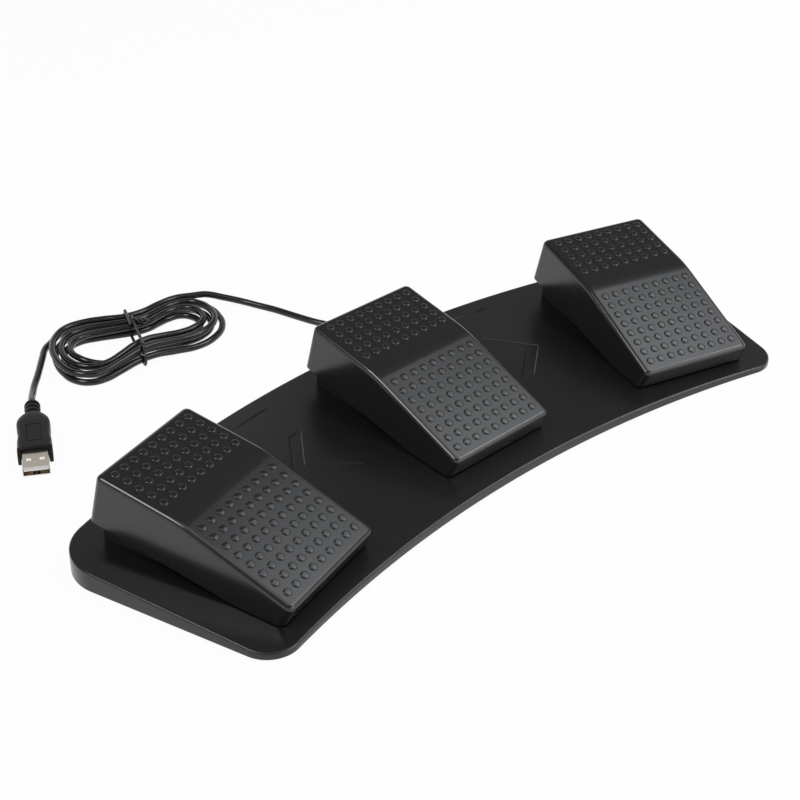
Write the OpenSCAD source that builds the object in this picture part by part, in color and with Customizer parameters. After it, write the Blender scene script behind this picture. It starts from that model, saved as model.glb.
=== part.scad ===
// Triple foot switch: three rocker pedals on a crescent wedge base, with a tied cord and its plug.
// Millimetres. The base stands on z = 0, the pedals' low front edges face -y, and the cord leaves at the rear.

/* [Base] */
// Radius of the rear edge, seen from above
rear_radius = 552; // [480:1:640]
// Radius of the hollow front edge, seen from above
front_radius = 562; // [480:1:640]
// Depth of the base on its centre line
mid_depth = 116.6; // [112:0.2:122]
// Radius of the rear corners
rear_round = 22; // [16:0.5:26]
// Radius of the front corners
front_round = 14; // [11:0.5:18]
// Room between an outer pedal's foot and the base's side edge
side_margin = 16.5; // [14:0.5:22]
// Height of the deck's rear edge above the floor
rear_height = 13.8; // [13.2:0.1:17]
// Slope of the deck, down to the front, in degrees
deck_slope = 4.1; // [3.4:0.1:4.3]
// Thickness of the deck
deck_thickness = 2; // [1.6:0.1:2.4]
// Thickness of the base's side walls
side_wall = 2.4; // [1.8:0.1:3]
// Thickness of the bottom cover
cover_thickness = 2; // [1.8:0.1:2.2]
// Gap between the bottom cover and the wall round it
cover_gap = 0.2; // [0.1:0.05:0.4]
// Length of the moulded slots near the rear edge
slot_length = 27; // [16:1:34]
// Distance from the rear edge to the moulded slots
slot_inset = 9.5; // [7:0.5:12]
// Width of the moulded slots
slot_width = 1.6; // [1:0.1:2.4]
// Depth of the moulded slots and of the direction marks
mark_depth = 0.4; // [0.3:0.1:0.9]
// Distance from the rear edge to the direction marks
mark_back = 54; // [46:1:60]
// Length of each arm of the direction marks
mark_arm = 26; // [16:1:30]
// Width of each arm of the direction marks
mark_width = 6; // [4:0.5:8]

/* [Pedals] */
// Distance from the middle pedal to an outer one, along the base
pedal_spacing = 140.9; // [136:0.1:150]
// How much further forward the outer pedals sit
outer_drop = 20.2; // [16:0.2:24]
// Turn of the outer pedals, in degrees
pedal_fan = 15; // [12:0.5:17]
// Distance from the base's rear edge to the middle pedal's rear top edge
pedal_setback = 11.3; // [10:0.1:14]
// Outward lean of a pedal's side walls at the foot
side_flare = 1.2; // [0.6:0.1:1.6]
// Length of the upper facet along its slope
upper_length = 40.5; // [39:0.1:42]
// Length of the lower facet along its slope
lower_length = 56.9; // [55:0.1:60]
// Slope of the upper facet, in degrees
upper_slope = 7.4; // [6:0.2:8]
// Slope of the lower facet, in degrees
lower_slope = 18.2; // [17:0.2:18.8]
// Height of a pedal's rear top edge above the deck
pedal_height = 33.2; // [32.6:0.1:36]
// Height of a pedal's rear bottom edge above the deck
rear_lift = 10.6; // [10:0.1:11.4]
// Gap between a pedal's front foot and the deck
foot_gap = 0.7; // [0.5:0.05:0.9]
// How far the rear wall leans out at its foot
rear_lean = 3.3; // [3:0.1:4]
// How far the front wall leans in at its foot
front_lean = 3.5; // [2:0.1:4]
// Thickness of a pedal's shell
pedal_wall = 2.2; // [1.8:0.1:2.4]
// Rounding of a pedal's edges
edge_round = 2; // [1.4:0.1:2.4]
// Distance between neighbouring bumps
bump_pitch = 6; // [5.6:0.1:6.2]
// Diameter of a bump
bump_diameter = 3.1; // [2.4:0.1:4]
// Height of a bump
bump_height = 0.7; // [0.4:0.1:1]
// Number of bumps in a row
bump_columns = 9; // [7:1:9]
// Number of rows on the upper facet
upper_rows = 5; // [4:1:5]
// Number of rows on the lower facet
lower_rows = 8; // [6:1:8]
// Distance from the rear top edge to the first row
upper_margin = 5.7; // [4:0.1:7]
// Distance from the bend to the first row below it
lower_margin = 8.2; // [7:0.1:8.6]

/* [Pivot] */
// Distance from a pedal's front top edge back to its pivot
pivot_inset = 26.5; // [25:0.5:28]
// Height of the pivot above the deck
pivot_height = 6; // [5.6:0.1:6.4]
// Diameter of the pivot pin
pin_diameter = 4; // [3.4:0.1:4.2]
// Radial running clearance of the pivot pin in the pedal's ears
pin_clearance = 0.05; // [0.02:0.01:0.08]
// Radial clearance of the pivot pin in the housing's lugs
pin_seat = 0.02; // [0.01:0.01:0.05]
// Wall of a pedal's ear round the pin
ear_wall = 2; // [1.4:0.1:2.4]
// Gap between an ear and the housing's lug
ear_gap = 0.4; // [0.3:0.05:0.8]

/* [Housing] */
// Width of the housing under a pedal's raised rear
housing_width = 52.8; // [50:0.2:54]
// Gap between the housing and a pedal's side walls
housing_side_gap = 1.4; // [1:0.1:2.4]
// Height of the housing under a pedal's raised rear
housing_height = 14; // [13.4:0.1:14.4]
// Gap from a pedal's rear top edge forward to the housing's rear face
housing_setback = 0.4; // [0.2:0.1:1]
// Width across the pivot lugs
lug_width = 46; // [42:0.5:48]
// Thickness of a pivot lug
lug_wall = 3; // [2.4:0.1:4]
// Height of the housing at the pivot
lug_height = 10.5; // [10.3:0.1:10.8]
// Thickness of the housing's walls
housing_wall = 2; // [1.6:0.1:2.2]
// Distance from the pivot to the housing's front face
housing_front = 13; // [11:0.5:14]

/* [Switch] */
// Distance from the pivot to the switch's plunger
switch_back = 17.5; // [17:0.1:18.5]
// Width of the switch's body
switch_width = 12.8; // [11:0.2:14]
// Gap between the switch's body and the housing's wall in front of it
switch_front_gap = 0.4; // [0.2:0.1:1]
// Depth of the switch's body
switch_depth = 6.4; // [5.8:0.2:7]
// Height of the switch's body
switch_height = 7; // [6.6:0.1:7.4]
// Height of the pad that the switch stands on
switch_pad = 3; // [2.6:0.1:3.2]
// Diameter of the plunger
plunger_diameter = 3; // [2.6:0.1:3.4]
// Radial running clearance of the plunger
plunger_clearance = 0.05; // [0.02:0.01:0.08]
// Travel of the plunger
plunger_travel = 2.2; // [2:0.05:2.4]
// Gap between the plunger's tip and the pedal's pusher, at rest
pusher_gap = 0.3; // [0.2:0.05:0.5]
// Diameter of the pedal's pusher
pusher_diameter = 5; // [4:0.2:5.6]
// How far the plunger's tip stands above the housing
plunger_reach = 1.5; // [1.2:0.1:1.8]
// Mean diameter of the return spring
spring_diameter = 8.4; // [7.6:0.2:9.4]
// Diameter of the return spring's wire
spring_wire = 1; // [0.8:0.1:1.1]
// Turns of the return spring
spring_turns = 4; // [3:1:4]
// Length of the stub under a pedal's top that holds the return spring
spring_stub = 3; // [2:0.1:4]
// Distance from a pedal's rear top edge forward to its return spring
spring_back = 14; // [12:0.5:16]
// Gap at each end of the return spring
spring_gap = 0.15; // [0.1:0.05:0.3]

/* [Fasteners and feet] */
// Diameter of the screws' threads
screw_diameter = 2.6; // [2.2:0.1:3]
// Diameter of the screws' heads
screw_head = 5; // [4.4:0.1:5.4]
// Thickness of the screws' heads
screw_head_height = 1.2; // [1:0.1:1.3]
// Radial gap round a screw's thread in its boss
thread_gap = 0.03; // [0.01:0.01:0.08]
// Radial gap round a screw in a plain hole or a sunk seat
screw_gap = 0.3; // [0.2:0.05:0.5]
// Diameter of the screw bosses
boss_diameter = 6.4; // [6:0.1:7]
// Length of a cover screw above its head
cover_screw_length = 3.6; // [3:0.1:4]
// Length of a housing screw above its head
housing_screw_length = 8; // [7:0.2:9]
// Diameter of the rubber feet
foot_diameter = 14; // [11:0.5:16]
// How far the feet stand below the base
foot_height = 1; // [0.8:0.1:1.2]
// How deep the feet are let into the base
foot_recess = 0.6; // [0.4:0.1:0.8]

/* [Controller] */
// Width of the circuit board
board_width = 44; // [40:0.5:46]
// Depth of the circuit board
board_depth = 24; // [23.5:0.5:26]
// Thickness of the circuit board
board_thickness = 1.6; // [1.2:0.1:1.6]
// Height of the board's standoffs
board_standoff = 0.8; // [0.6:0.1:1]
// Distance of the board's left edge from the base's centre line
board_left = 20; // [18:0.5:22]
// Distance from the base's rear edge to the board's centre
board_setback = 29; // [28:0.5:31]

/* [Cord and plug] */
// Diameter of the cord
cord_diameter = 3.4; // [3:0.1:3.4]
// Distance of the cord's outlet from the base's centre line
outlet_x = 33; // [32.5:0.5:36]
// Height of the cord's outlet above the floor
outlet_height = 6.5; // [6.2:0.1:7]
// Length of the strain relief outside the base
relief_length = 14; // [10:0.5:16]
// Radius of the strain relief's collar
relief_radius = 3.4; // [2.8:0.1:3.4]
// Length of the hank over its loops
hank_length = 99; // [99:0.5:104]
// Height from the hank's lower layer to its upper one
hank_rise = 4; // [4:0.05:4.2]
// Diameter of the wire tie
tie_diameter = 1.6; // [1.2:0.1:1.6]
// Width of the plug's moulded body
plug_width = 15.6; // [14.6:0.1:17]
// Thickness of the plug's moulded body
plug_thickness = 8; // [7.6:0.1:8.4]
// Length of the plug's ribbed neck
neck_length = 9; // [8:0.5:11]
// Length of the plug's moulded body
plug_length = 33; // [32:0.5:36]
// Width of the plug's metal shell
shell_width = 12; // [11.8:0.1:12.4]
// Thickness of the plug's metal shell, outside
shell_thickness = 4.5; // [4.3:0.1:4.7]
// Thickness of the shell's sheet
shell_sheet = 0.35; // [0.3:0.05:0.45]
// Length of the shell outside the moulded body
shell_length = 13; // [11:0.5:14]
// How deep the shell sits in the moulded body
shell_seat = 8; // [6:0.5:10]
// Gap round the shell in the moulded body
shell_gap = 0.05; // [0.02:0.01:0.1]

/* [Hidden] */

$fa = 4;
$fs = 0.4;
// Fragments of the base's long arcs
arc_fragments = 720;
// Small overshoot that makes cuts go clean through
slack = 0.5;
// Size of the blocks that cut the base along its deck
cut_reach = 400;

// Moulded black, darker black, rubber, steel, nickel, board, contact and insulator tones
black = [0.10, 0.10, 0.11];
deep_black = [0.06, 0.06, 0.065];
rubber_grey = [0.16, 0.16, 0.16];
steel = [0.62, 0.63, 0.65];
nickel = [0.70, 0.68, 0.64];
board_green = [0.08, 0.30, 0.16];
gold = [0.80, 0.62, 0.25];
ivory = [0.85, 0.84, 0.80];

// Pedal profile, seen from its right side: [y, z] from below the rear top edge at deck level
bend_y = -upper_length * cos(upper_slope);
bend_z = pedal_height - upper_length * sin(upper_slope);
front_y = bend_y - lower_length * cos(lower_slope);
front_z = bend_z - lower_length * sin(lower_slope);
pivot_y = front_y + pivot_inset;
top_half = housing_width / 2 + housing_side_gap + pedal_wall;
foot_half = top_half + side_flare;
pedal_profile = [
    [rear_lean, rear_lift],
    [0, pedal_height],
    [bend_y, bend_z],
    [front_y, front_z],
    [front_y + front_lean, foot_gap],
    [pivot_y, foot_gap]
];

// Base plan, measured from the middle of the rear edge, then moved so that its box is centred
pedal_plan_y = -(pedal_setback + outer_drop) * cos(deck_slope);
side_normal = [cos(pedal_fan), -sin(pedal_fan)];
side_run = [sin(pedal_fan), cos(pedal_fan)];
side_point = [pedal_spacing, pedal_plan_y] + (foot_half + side_margin) * side_normal;
rear_arc = [0, -rear_radius];
front_arc = [0, -mid_depth - front_radius];
rear_corner = corner_centre(rear_arc, rear_radius - rear_round, rear_round);
front_corner = corner_centre(front_arc, front_radius + front_round, front_round);
base_front = front_corner[1] - front_round;
rear_y = -base_front / 2;
cover_top = foot_height + cover_thickness;
cavity_clearance = 0.6;
cavity_room = rear_height - deck_thickness / cos(deck_slope) - cover_top - cavity_clearance;
cavity_front = rear_y - cavity_room / tan(deck_slope);

housing_step = switch_back - switch_depth / 2 - switch_front_gap - housing_wall;

// Distances that place the cover screws, the housing screws and the feet
spot_beside_outlet = 15;
spot_rear_in = 9;
spot_between = 38;
spot_between_in = 13;
spot_rear_corner = [6, -18];
spot_front_corner = [5, 36];
spot_middle_in = 8;
spot_middle_back = 27;
housing_spot_out = 16;
housing_spot_back = 10;
foot_corner_in = [4, 2];
foot_rear_in = 14;
foot_middle_out = 30;
foot_front_in = 11;

// Screw places of the bottom cover, right half
cover_spots = [
    [outlet_x - spot_beside_outlet, rear_edge(outlet_x - spot_beside_outlet) - spot_rear_in],
    [pedal_spacing - spot_between, rear_edge(pedal_spacing - spot_between) - spot_between_in],
    rear_corner + spot_rear_corner + [0, rear_y],
    front_corner + spot_front_corner + [0, rear_y],
    [pedal_spacing / 2 - spot_middle_in, cavity_front + spot_middle_back]
];
// Screw places of a housing in the pedal's own frame, and the heights of their bosses
housing_spots = [
    for (x = [-housing_spot_out, housing_spot_out]) each [
        [x, -housing_spot_back, housing_height - housing_wall / 2],
        [x, pivot_y + housing_step + 1, lug_height - housing_wall / 2]
    ]
];
// Feet: two under the front corners, and six on the cover
corner_feet = [for (s = [-1, 1]) [s * front_corner[0], front_corner[1] + rear_y]];
cover_feet = [
    for (s = [-1, 1]) each [
        [s * (rear_corner[0] - foot_corner_in[0]), rear_corner[1] - foot_corner_in[1] + rear_y],
        [s * pedal_spacing / 2, rear_edge(pedal_spacing / 2) - foot_rear_in],
        [s * (pedal_spacing / 2 - foot_middle_out), cavity_front + foot_front_in]
    ]
];
foot_gap_round = 0.1;

// Housing and switch levels above the deck
housing_rear = -housing_setback;
housing_split = pivot_y + housing_step;
switch_y = pivot_y + switch_back;
switch_top = switch_pad + switch_height;
plunger_top = housing_height + plunger_reach;
plunger_foot = switch_top - plunger_travel - 1.2;
bore_floor = plunger_foot - plunger_travel - 0.3;
pusher_foot = plunger_top + pusher_gap;
pusher_hole = pusher_diameter / 2 + 2;
upper_skin = pedal_wall / cos(upper_slope);
lower_skin = pedal_wall / cos(lower_slope);
spring_seat = pedal_height - spring_back * tan(upper_slope) - upper_skin - spring_stub;
wire_diameter = 1.4;
wire_hole = 3;
wire_y = switch_y + switch_depth / 2 + 8;
wire_level = switch_pad + 1.2;
// Half length of a pivot pin, and the room at its ends
pin_end_gap = 0.3;
pin_half = top_half - pedal_wall - pin_end_gap - 0.5;

// Circuit board levels
board_x = board_left + board_width / 2;
board_y = rear_y - board_setback;
board_bottom = cover_top + board_standoff;
board_top = board_bottom + board_thickness;
header_height = 1.5;
header_size = [6, 4.4];
board_hole_inset = 3;
board_screw_diameter = 2;
board_screw_head = 3.8;
board_screw_head_height = 0.9;
// Where the wires meet their headers: left, middle and right switch
header_faces = [
    [board_x - board_width / 2, board_y + 3.2, board_top + header_height / 2],
    [board_x - board_width / 2, board_y - 3.2, board_top + header_height / 2],
    [board_x + board_width / 2, board_y, board_top + header_height / 2]
];
cord_header_height = 2.8;
cord_header_size = [6, 5];
cord_header = [outlet_x, board_y + board_depth / 2, board_top + cord_header_height / 2];
board_screw_foot = foot_height + foot_recess + 0.4;
standoff_diameter = 5;
// Routes of the wires over the cover, between the deck's hole and the header
run_level = cover_top + wire_diameter / 2 + 0.2;
left_run = [
    [-128, 1, run_level], [-122, 5, run_level], [-110, 11, run_level], [-95, 19, run_level], [-80, 26, run_level],
    [-65, 32, run_level], [-50, 36.5, run_level], [-35, 39.6, run_level], [-20, 41.6, run_level],
    [-6, 42.6, run_level], [4, 42.8, run_level], [11.4, 42.7, run_level + 0.8]
];
middle_run = [
    [0.6, 19.5, run_level], [2.6, 23, run_level], [5, 27, run_level], [8, 31, run_level], [11.6, 34.6, run_level + 0.8]
];
right_run = [
    [128.5, 1, run_level], [123, 5, run_level], [113, 12, run_level], [103, 20, run_level],
    [93, 28, run_level], [82, 35, run_level], [73, 38.8, run_level + 0.8]
];

// Cord outlet: turned to stand square to the rear edge
outlet_turn = asin(outlet_x / rear_radius);
outlet_dir = [sin(outlet_turn), cos(outlet_turn), 0];
outlet_point = [0, rear_y - rear_radius, outlet_height] + rear_radius * outlet_dir;
flange_radius = relief_radius + 1.2;
flange_thickness = 1.4;
flange_gap = 0.05;
flange_ceiling = rear_height - (deck_thickness + 8 * sin(deck_slope)) / cos(deck_slope) - cover_gap;
relief_gap = 0.05;
relief_tip_radius = 2.2;
relief_groove = 0.4;
relief_tip = outlet_point + relief_length * outlet_dir;
cord_radius = cord_diameter / 2;
cord_floor = cord_radius + 0.05;

// Hank: a flat tied bundle, wound inward in its upper layer and outward in its lower one
hank_middle = [-53.5, 160];
hank_spread = hank_length / 99;
// Control points of the hank's outer loop and of its inner one, in turn from the right end
hank_outer = [
    [-2, 160], [-4.5, 177], [-23, 180.5], [-45, 173], [-58, 188.5], [-74, 196], [-90, 184],
    [-97.5, 168], [-101, 149], [-91, 139.5], [-71, 141.5], [-52, 142], [-33, 133], [-10, 140]
];
hank_inner = [
    [-16, 160], [-21.5, 169.5], [-35, 167], [-45.5, 161.5], [-58, 169], [-71, 178.5], [-82, 176],
    [-87.5, 166.5], [-84.5, 155.5], [-74, 152], [-63, 155], [-50, 158], [-36, 152], [-21.5, 149.5]
];
hank_start = 24;
hank_in_turns = 2.45;
hank_drop = 60;
hank_out_turns = 2.73;
hank_slide = [0.6, 0.6];
// Where the loops are lifted over the tie, in control points, how far that reaches, and by how much
hank_waists = [3.15, 10.5];
hank_waist_reach = 1.7;
hank_lift = 1.8;
hank_step = 15;
hank_top = hank_start + 360 * hank_in_turns;
hank_foot = hank_top + hank_drop;
hank_end = hank_foot + 360 * hank_out_turns;
hank_turns = [for (t = [hank_start : hank_step : hank_end]) t];
hank_loops = [for (t = hank_turns) hank_point(t)];
hank_entry = unit(hank_loops[1] - hank_loops[0]);
hank_exit = unit(hank_loops[len(hank_loops) - 1] - hank_loops[len(hank_loops) - 2]);
hank_path = concat(
    [hank_loops[0] - cord_diameter * hank_entry],
    hank_loops,
    [hank_loops[len(hank_loops) - 1] + cord_diameter * hank_exit]
);

// Plug: where the cord enters its neck, and the way that it points
plug_neck = [-124.6, 144.5, plug_thickness / 2];
plug_turn = -122;
plug_dir = [cos(plug_turn), sin(plug_turn), 0];
neck_radius = 2.9;
rib_radius = 3.7;
rib_width = 1.7;
rib_count = 3;
body_end = neck_length + plug_length;
ear_length = 4;
tongue_half = shell_width / 2 - shell_sheet - shell_gap;
tongue_thickness = 1.8;
tongue_foot = shell_thickness / 2 - shell_sheet - shell_gap - tongue_thickness;
contact_thickness = 0.25;

// Route of the cord from the strain relief to the hank
lead_route = [
    relief_tip,
    relief_tip + cord_diameter * outlet_dir,
    [33.5, 92, 4.8],
    [31.5, 100, 2.9],
    [28.9, 108, 1.8],
    [26, 115, cord_floor],
    [23.6, 123, cord_floor],
    [21.4, 131.5, cord_floor],
    [19.2, 140, cord_floor],
    [16.2, 148.5, cord_floor],
    hank_path[0] + [15, -15.7, -3.4],
    hank_path[0] + [8.6, -8.4, -1.5],
    hank_path[0] - cord_diameter * hank_entry,
    hank_path[0]
];
// Route of the cord from the hank to the plug
tail_start = hank_path[len(hank_path) - 1];
tail_route = [
    tail_start,
    tail_start + cord_diameter * hank_exit,
    tail_start + [-7.2, -7, 0],
    tail_start + [-12, -12.4, 0],
    [-106.3, 167.8, cord_floor],
    [-112.3, 161.5, cord_floor],
    [-117.2, 155.4, cord_floor + 0.6],
    plug_neck - 8 * plug_dir + [0, 0, -0.8],
    plug_neck - cord_diameter * plug_dir,
    plug_neck
];
// Wire tie: a loop round both sides of the hank, square to its own x, its two ends side by side on top
tie_turn = -24.7;
tie_floor = tie_diameter / 2 + 0.05;
tie_low = cord_floor + hank_lift;
tie_high = tie_low + hank_rise;
tie_top = tie_high + cord_radius + tie_diameter / 2 + 0.15;
tie_reach = cord_radius + tie_diameter / 2 + 0.45;
tie_side = 0.6 * tie_diameter;
// Strands that the tie goes round: rear upper, rear lower, front lower and front upper
tie_rear_upper = [19.15 * hank_spread, tie_high];
tie_rear_lower = [19.7 * hank_spread, tie_low];
tie_front_lower = [-17.8 * hank_spread, tie_low];
tie_front_upper = [-15.2 * hank_spread, tie_high];
tie_section = concat(
    [[5 * hank_spread, tie_top], [12 * hank_spread, tie_top], [tie_rear_upper[0] - 1, tie_top]],
    [for (a = [60 : -20 : 0]) tie_rear_upper + tie_reach * [cos(a), sin(a)]],
    [for (a = [0 : -20 : -60]) tie_rear_lower + tie_reach * [cos(a), sin(a)]],
    [for (y = [18, 12, 6, 0, -6, -12, -16.5]) [y * hank_spread, tie_floor]],
    [for (a = [240 : -20 : 140]) tie_front_lower + tie_reach * [cos(a), sin(a)]],
    [for (a = [180 : -20 : 120]) tie_front_upper + tie_reach * [cos(a), sin(a)]],
    [for (y = [-14, -8, -2, 4, 9, 14]) [y * hank_spread, tie_top]]
);
tie_count = len(tie_section) - 1;
tie_route = [
    for (i = [0 : tie_count])
        [tie_side * (2 * i / tie_count - 1), tie_section[i][0], tie_section[i][1]]
];

function unit(v) = v / norm(v);

// Points of the deck's frame, and of a pedal's own frame, in the part's frame
function from_deck(p) = [
    p[0],
    rear_y + p[1] * cos(deck_slope) - p[2] * sin(deck_slope),
    rear_height + p[1] * sin(deck_slope) + p[2] * cos(deck_slope)
];
function from_pedal(place, p) = from_deck([
    place * pedal_spacing + p[0] * cos(place * pedal_fan) + p[1] * sin(place * pedal_fan),
    -pedal_setback - abs(place) * outer_drop - p[0] * sin(place * pedal_fan) + p[1] * cos(place * pedal_fan),
    p[2]
]);

function rear_edge(x) = rear_y - rear_radius + sqrt(rear_radius * rear_radius - x * x);

// Centre of a right-hand corner's round: one round in from the side, and at a given reach from an arc's centre
function corner_centre(arc, reach, round) =
    let (
        start = side_point - round * side_normal - arc,
        along = start * side_run
    )
    arc + start + side_run * (sqrt(along * along - start * start + reach * reach) - along);

// A convex outline's corner, moved in by a given distance
function inset_corner(before, corner, after, inset) =
    let (
        u = unit(corner - before),
        v = unit(after - corner),
        m = [-u[1], u[0]],
        n = [-v[1], v[0]]
    )
    corner + inset * (m + n) / (1 + m * n);

function inset_profile(outline, inset) = [
    for (i = [0 : len(outline) - 1])
        inset_corner(outline[(i + len(outline) - 1) % len(outline)], outline[i], outline[(i + 1) % len(outline)], inset)
];

// A point of a smooth closed curve that follows its control points
function loop_point(points, u) =
    let (
        n = len(points),
        i = floor(u),
        w = u - i,
        a = points[(i + n - 1) % n],
        b = points[i % n],
        c = points[(i + 1) % n],
        d = points[(i + 2) % n],
        near = 3 * w * w * w - 6 * w * w + 4,
        next = 1 + 3 * w + 3 * w * w - 3 * w * w * w
    )
    (pow(1 - w, 3) * a + near * b + next * c + pow(w, 3) * d) / 6;
// How far in from the outer loop the winding lies, as a share of the way to the inner loop
function hank_share(t) =
    t < hank_top ? (t - hank_start) / 360 / hank_in_turns
    : t < hank_foot ? 1
    : 1 - (t - hank_foot) / 360 / hank_in_turns;
function soft_step(k) = k * k * (3 - 2 * k);
// How much of the upper layer's height is left, and how much of the lift over the tie applies
function hank_height(t) = 1 - soft_step(min(1, max(0, (t - hank_top) / hank_drop)));
function waist_share(u) =
    let (n = len(hank_outer))
    soft_step(max([
        for (w = hank_waists)
            max(0, 1 - abs((u - w + 1.5 * n) % n - n / 2) / hank_waist_reach)
    ]));
function hank_point(t) =
    let (
        u = t / 360 * len(hank_outer),
        k = hank_share(t),
        h = hank_height(t),
        p = loop_point(hank_outer, u) * (1 - k) + loop_point(hank_inner, u) * k,
        q = hank_middle + hank_spread * (p - hank_middle) + hank_slide * h
    )
    [q[0], q[1], cord_floor + hank_rise * h + hank_lift * waist_share(u)];
function tie_place(p) = [
    hank_middle[0] + p[0] * cos(tie_turn) - p[1] * sin(tie_turn),
    hank_middle[1] + p[0] * sin(tie_turn) + p[1] * cos(tie_turn),
    p[2]
];

// Least gap between two stretches of a tube that are not neighbours
function least_gap(path, apart, diameter) =
    min([
        for (i = [0 : len(path) - 1], j = [i + apart : len(path) - 1])
            if (j < len(path)) norm(path[i] - path[j])
    ]) - diameter;

function path_length(path, i = 0) =
    i == len(path) - 1 ? 0 : norm(path[i + 1] - path[i]) + path_length(path, i + 1);
function path_dir(path, i) = unit(path[min(i + 1, len(path) - 1)] - path[max(i - 1, 0)]);
function ring(path, i, radius, sides, upright) =
    let (
        d = path_dir(path, i),
        a = unit(cross(upright, d)),
        b = cross(d, a)
    )
    [for (k = [0 : sides - 1]) path[i] + radius * (cos(360 * k / sides) * a + sin(360 * k / sides) * b)];

// A round tube swept along a path
module tube(path, radius, sides, upright = [0, 0, 1]) {
    last = (len(path) - 1) * sides;
    walls = [
        for (i = [0 : len(path) - 2], k = [0 : sides - 1])
            let (a = i * sides + k, b = i * sides + (k + 1) % sides)
            each [[a + sides, b + sides, b], [a + sides, b, a]]
    ];
    first_cap = [for (k = [1 : sides - 2]) [0, k, k + 1]];
    last_cap = [for (k = [1 : sides - 2]) [last, last + k + 1, last + k]];
    polyhedron(
        points = [for (i = [0 : len(path) - 1]) each ring(path, i, radius, sides, upright)],
        faces = concat(walls, first_cap, last_cap)
    );
}

// Deck frame: origin in the middle of the rear edge, z square to the deck
module on_deck() {
    translate([0, rear_y, rear_height]) rotate([deck_slope, 0, 0]) children();
}

// A pedal's own frame: -1 is the left one, 0 the middle one, 1 the right one
module on_pedal(place) {
    on_deck()
        translate([place * pedal_spacing, -pedal_setback - abs(place) * outer_drop, 0])
            rotate([0, 0, -place * pedal_fan]) children();
}

// Everything below the deck, or below a level sunk under it
module below_deck(sunk) {
    on_deck() translate([-cut_reach / 2, -cut_reach / 2, -cut_reach - sunk]) cube(cut_reach);
}

// What a round takes off a sharp corner
module corner_cut(centre, toward_arc, round) {
    spread = 1.3 * round * (side_normal + toward_arc);
    translate(centre) difference() {
        polygon([[0, 0], round * side_normal, spread, round * toward_arc]);
        circle(r = round, $fn = 96);
    }
}

// Plan of the base, or of a line inside it
module base_plan(inset) {
    low = side_point - 220 * side_run - inset * side_normal;
    high = side_point + 220 * side_run - inset * side_normal;
    translate([0, rear_y]) difference() {
        intersection() {
            translate(rear_arc) circle(r = rear_radius - inset, $fn = arc_fragments);
            polygon([low, high, [-high[0], high[1]], [-low[0], low[1]]]);
        }
        translate(front_arc) circle(r = front_radius + inset, $fn = arc_fragments);
        for (s = [0, 1]) mirror([s, 0]) {
            corner_cut(rear_corner, unit(rear_corner - rear_arc), rear_round - inset);
            corner_cut(front_corner, unit(front_arc - front_corner), front_round - inset);
        }
    }
}

// Plan of the hollow under the deck, or of a line inside it
module cavity_plan(inset) {
    intersection() {
        base_plan(inset);
        translate([-cut_reach / 2, cavity_front + inset - side_wall]) square(cut_reach);
    }
}

// A block between two depths, centred on x, standing on a level
module block(half_width, front, rear, foot, height) {
    translate([-half_width, front, foot]) cube([2 * half_width, rear - front, height]);
}

// Children at every cover screw
module at_cover_screws() {
    for (s = [-1, 1], spot = cover_spots) translate([s * spot[0], spot[1], 0]) children();
}

// Children at every screw of a pedal's housing
module at_housing_screws() {
    for (spot = housing_spots) translate([spot[0], spot[1], 0]) children();
}

// Children at every corner screw of the circuit board
module at_board_screws() {
    for (x = [-1, 1], y = [-1, 1])
        translate([
            board_x + x * (board_width / 2 - board_hole_inset),
            board_y + y * (board_depth / 2 - board_hole_inset),
            0
        ]) children();
}

// The seats that the rubber feet are let into
module foot_seats() {
    for (spot = concat(corner_feet, cover_feet))
        translate([spot[0], spot[1], foot_height - slack])
            cylinder(d = foot_diameter + 2 * foot_gap_round, h = foot_recess + slack);
}

// A shallow slot along the rear edge
module deck_slot() {
    translate([pedal_spacing / 2, rear_edge(pedal_spacing / 2) - rear_y - slot_inset, -mark_depth])
        rotate([0, 0, -asin(pedal_spacing / 2 / rear_radius)]) {
            translate([-slot_length / 2, -slot_width / 2, 0]) cube([slot_length, slot_width, slack + mark_depth]);
            for (s = [-1, 1]) translate([s * slot_length / 2, 0, 0])
                cylinder(d = slot_width, h = slack + mark_depth);
        }
}

// A shallow direction mark: a plain chevron that points outward
module deck_mark() {
    half = mark_arm * sin(45);
    across = mark_width / sin(45);
    translate([pedal_spacing / 2, -mark_back, -mark_depth]) rotate([0, 0, -pedal_fan / 2])
        linear_extrude(slack + mark_depth)
            polygon([
                [-half / 2, half],
                [half / 2, 0],
                [-half / 2, -half],
                [-half / 2 - across, -half],
                [half / 2 - across, 0],
                [-half / 2 - across, half]
            ]);
}

module base_top_shell() {
    color(black) difference() {
        union() {
            difference() {
                intersection() {
                    translate([0, 0, foot_height]) linear_extrude(rear_height) base_plan(0);
                    below_deck(0);
                }
                intersection() {
                    linear_extrude(rear_height) cavity_plan(side_wall);
                    below_deck(deck_thickness);
                }
            }
            intersection() {
                at_cover_screws() translate([0, 0, cover_top]) cylinder(d = boss_diameter, h = rear_height);
                below_deck(deck_thickness / 2);
            }
            for (place = [-1, 0, 1]) on_pedal(place)
                block(switch_width / 2, switch_y - switch_depth / 2, switch_y + switch_depth / 2,
                    -deck_thickness / 2, deck_thickness / 2 + switch_pad);
        }
        foot_seats();
        at_cover_screws()
            cylinder(d = screw_diameter + 2 * thread_gap, h = foot_height + screw_head_height + cover_screw_length + 0.4);
        for (place = [-1, 0, 1]) on_pedal(place) {
            at_housing_screws() translate([0, 0, -deck_thickness - slack])
                cylinder(d = screw_diameter + 2 * screw_gap, h = deck_thickness + 2 * slack);
            translate([0, wire_y, -deck_thickness - slack]) cylinder(d = wire_hole, h = deck_thickness + 2 * slack);
        }
        on_deck() for (s = [0, 1]) mirror([s, 0, 0]) {
            deck_slot();
            deck_mark();
        }
        at_outlet() translate([0, 0, -side_wall - 2])
            cylinder(r = relief_radius + relief_gap, h = side_wall + 4);
    }
}

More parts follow.
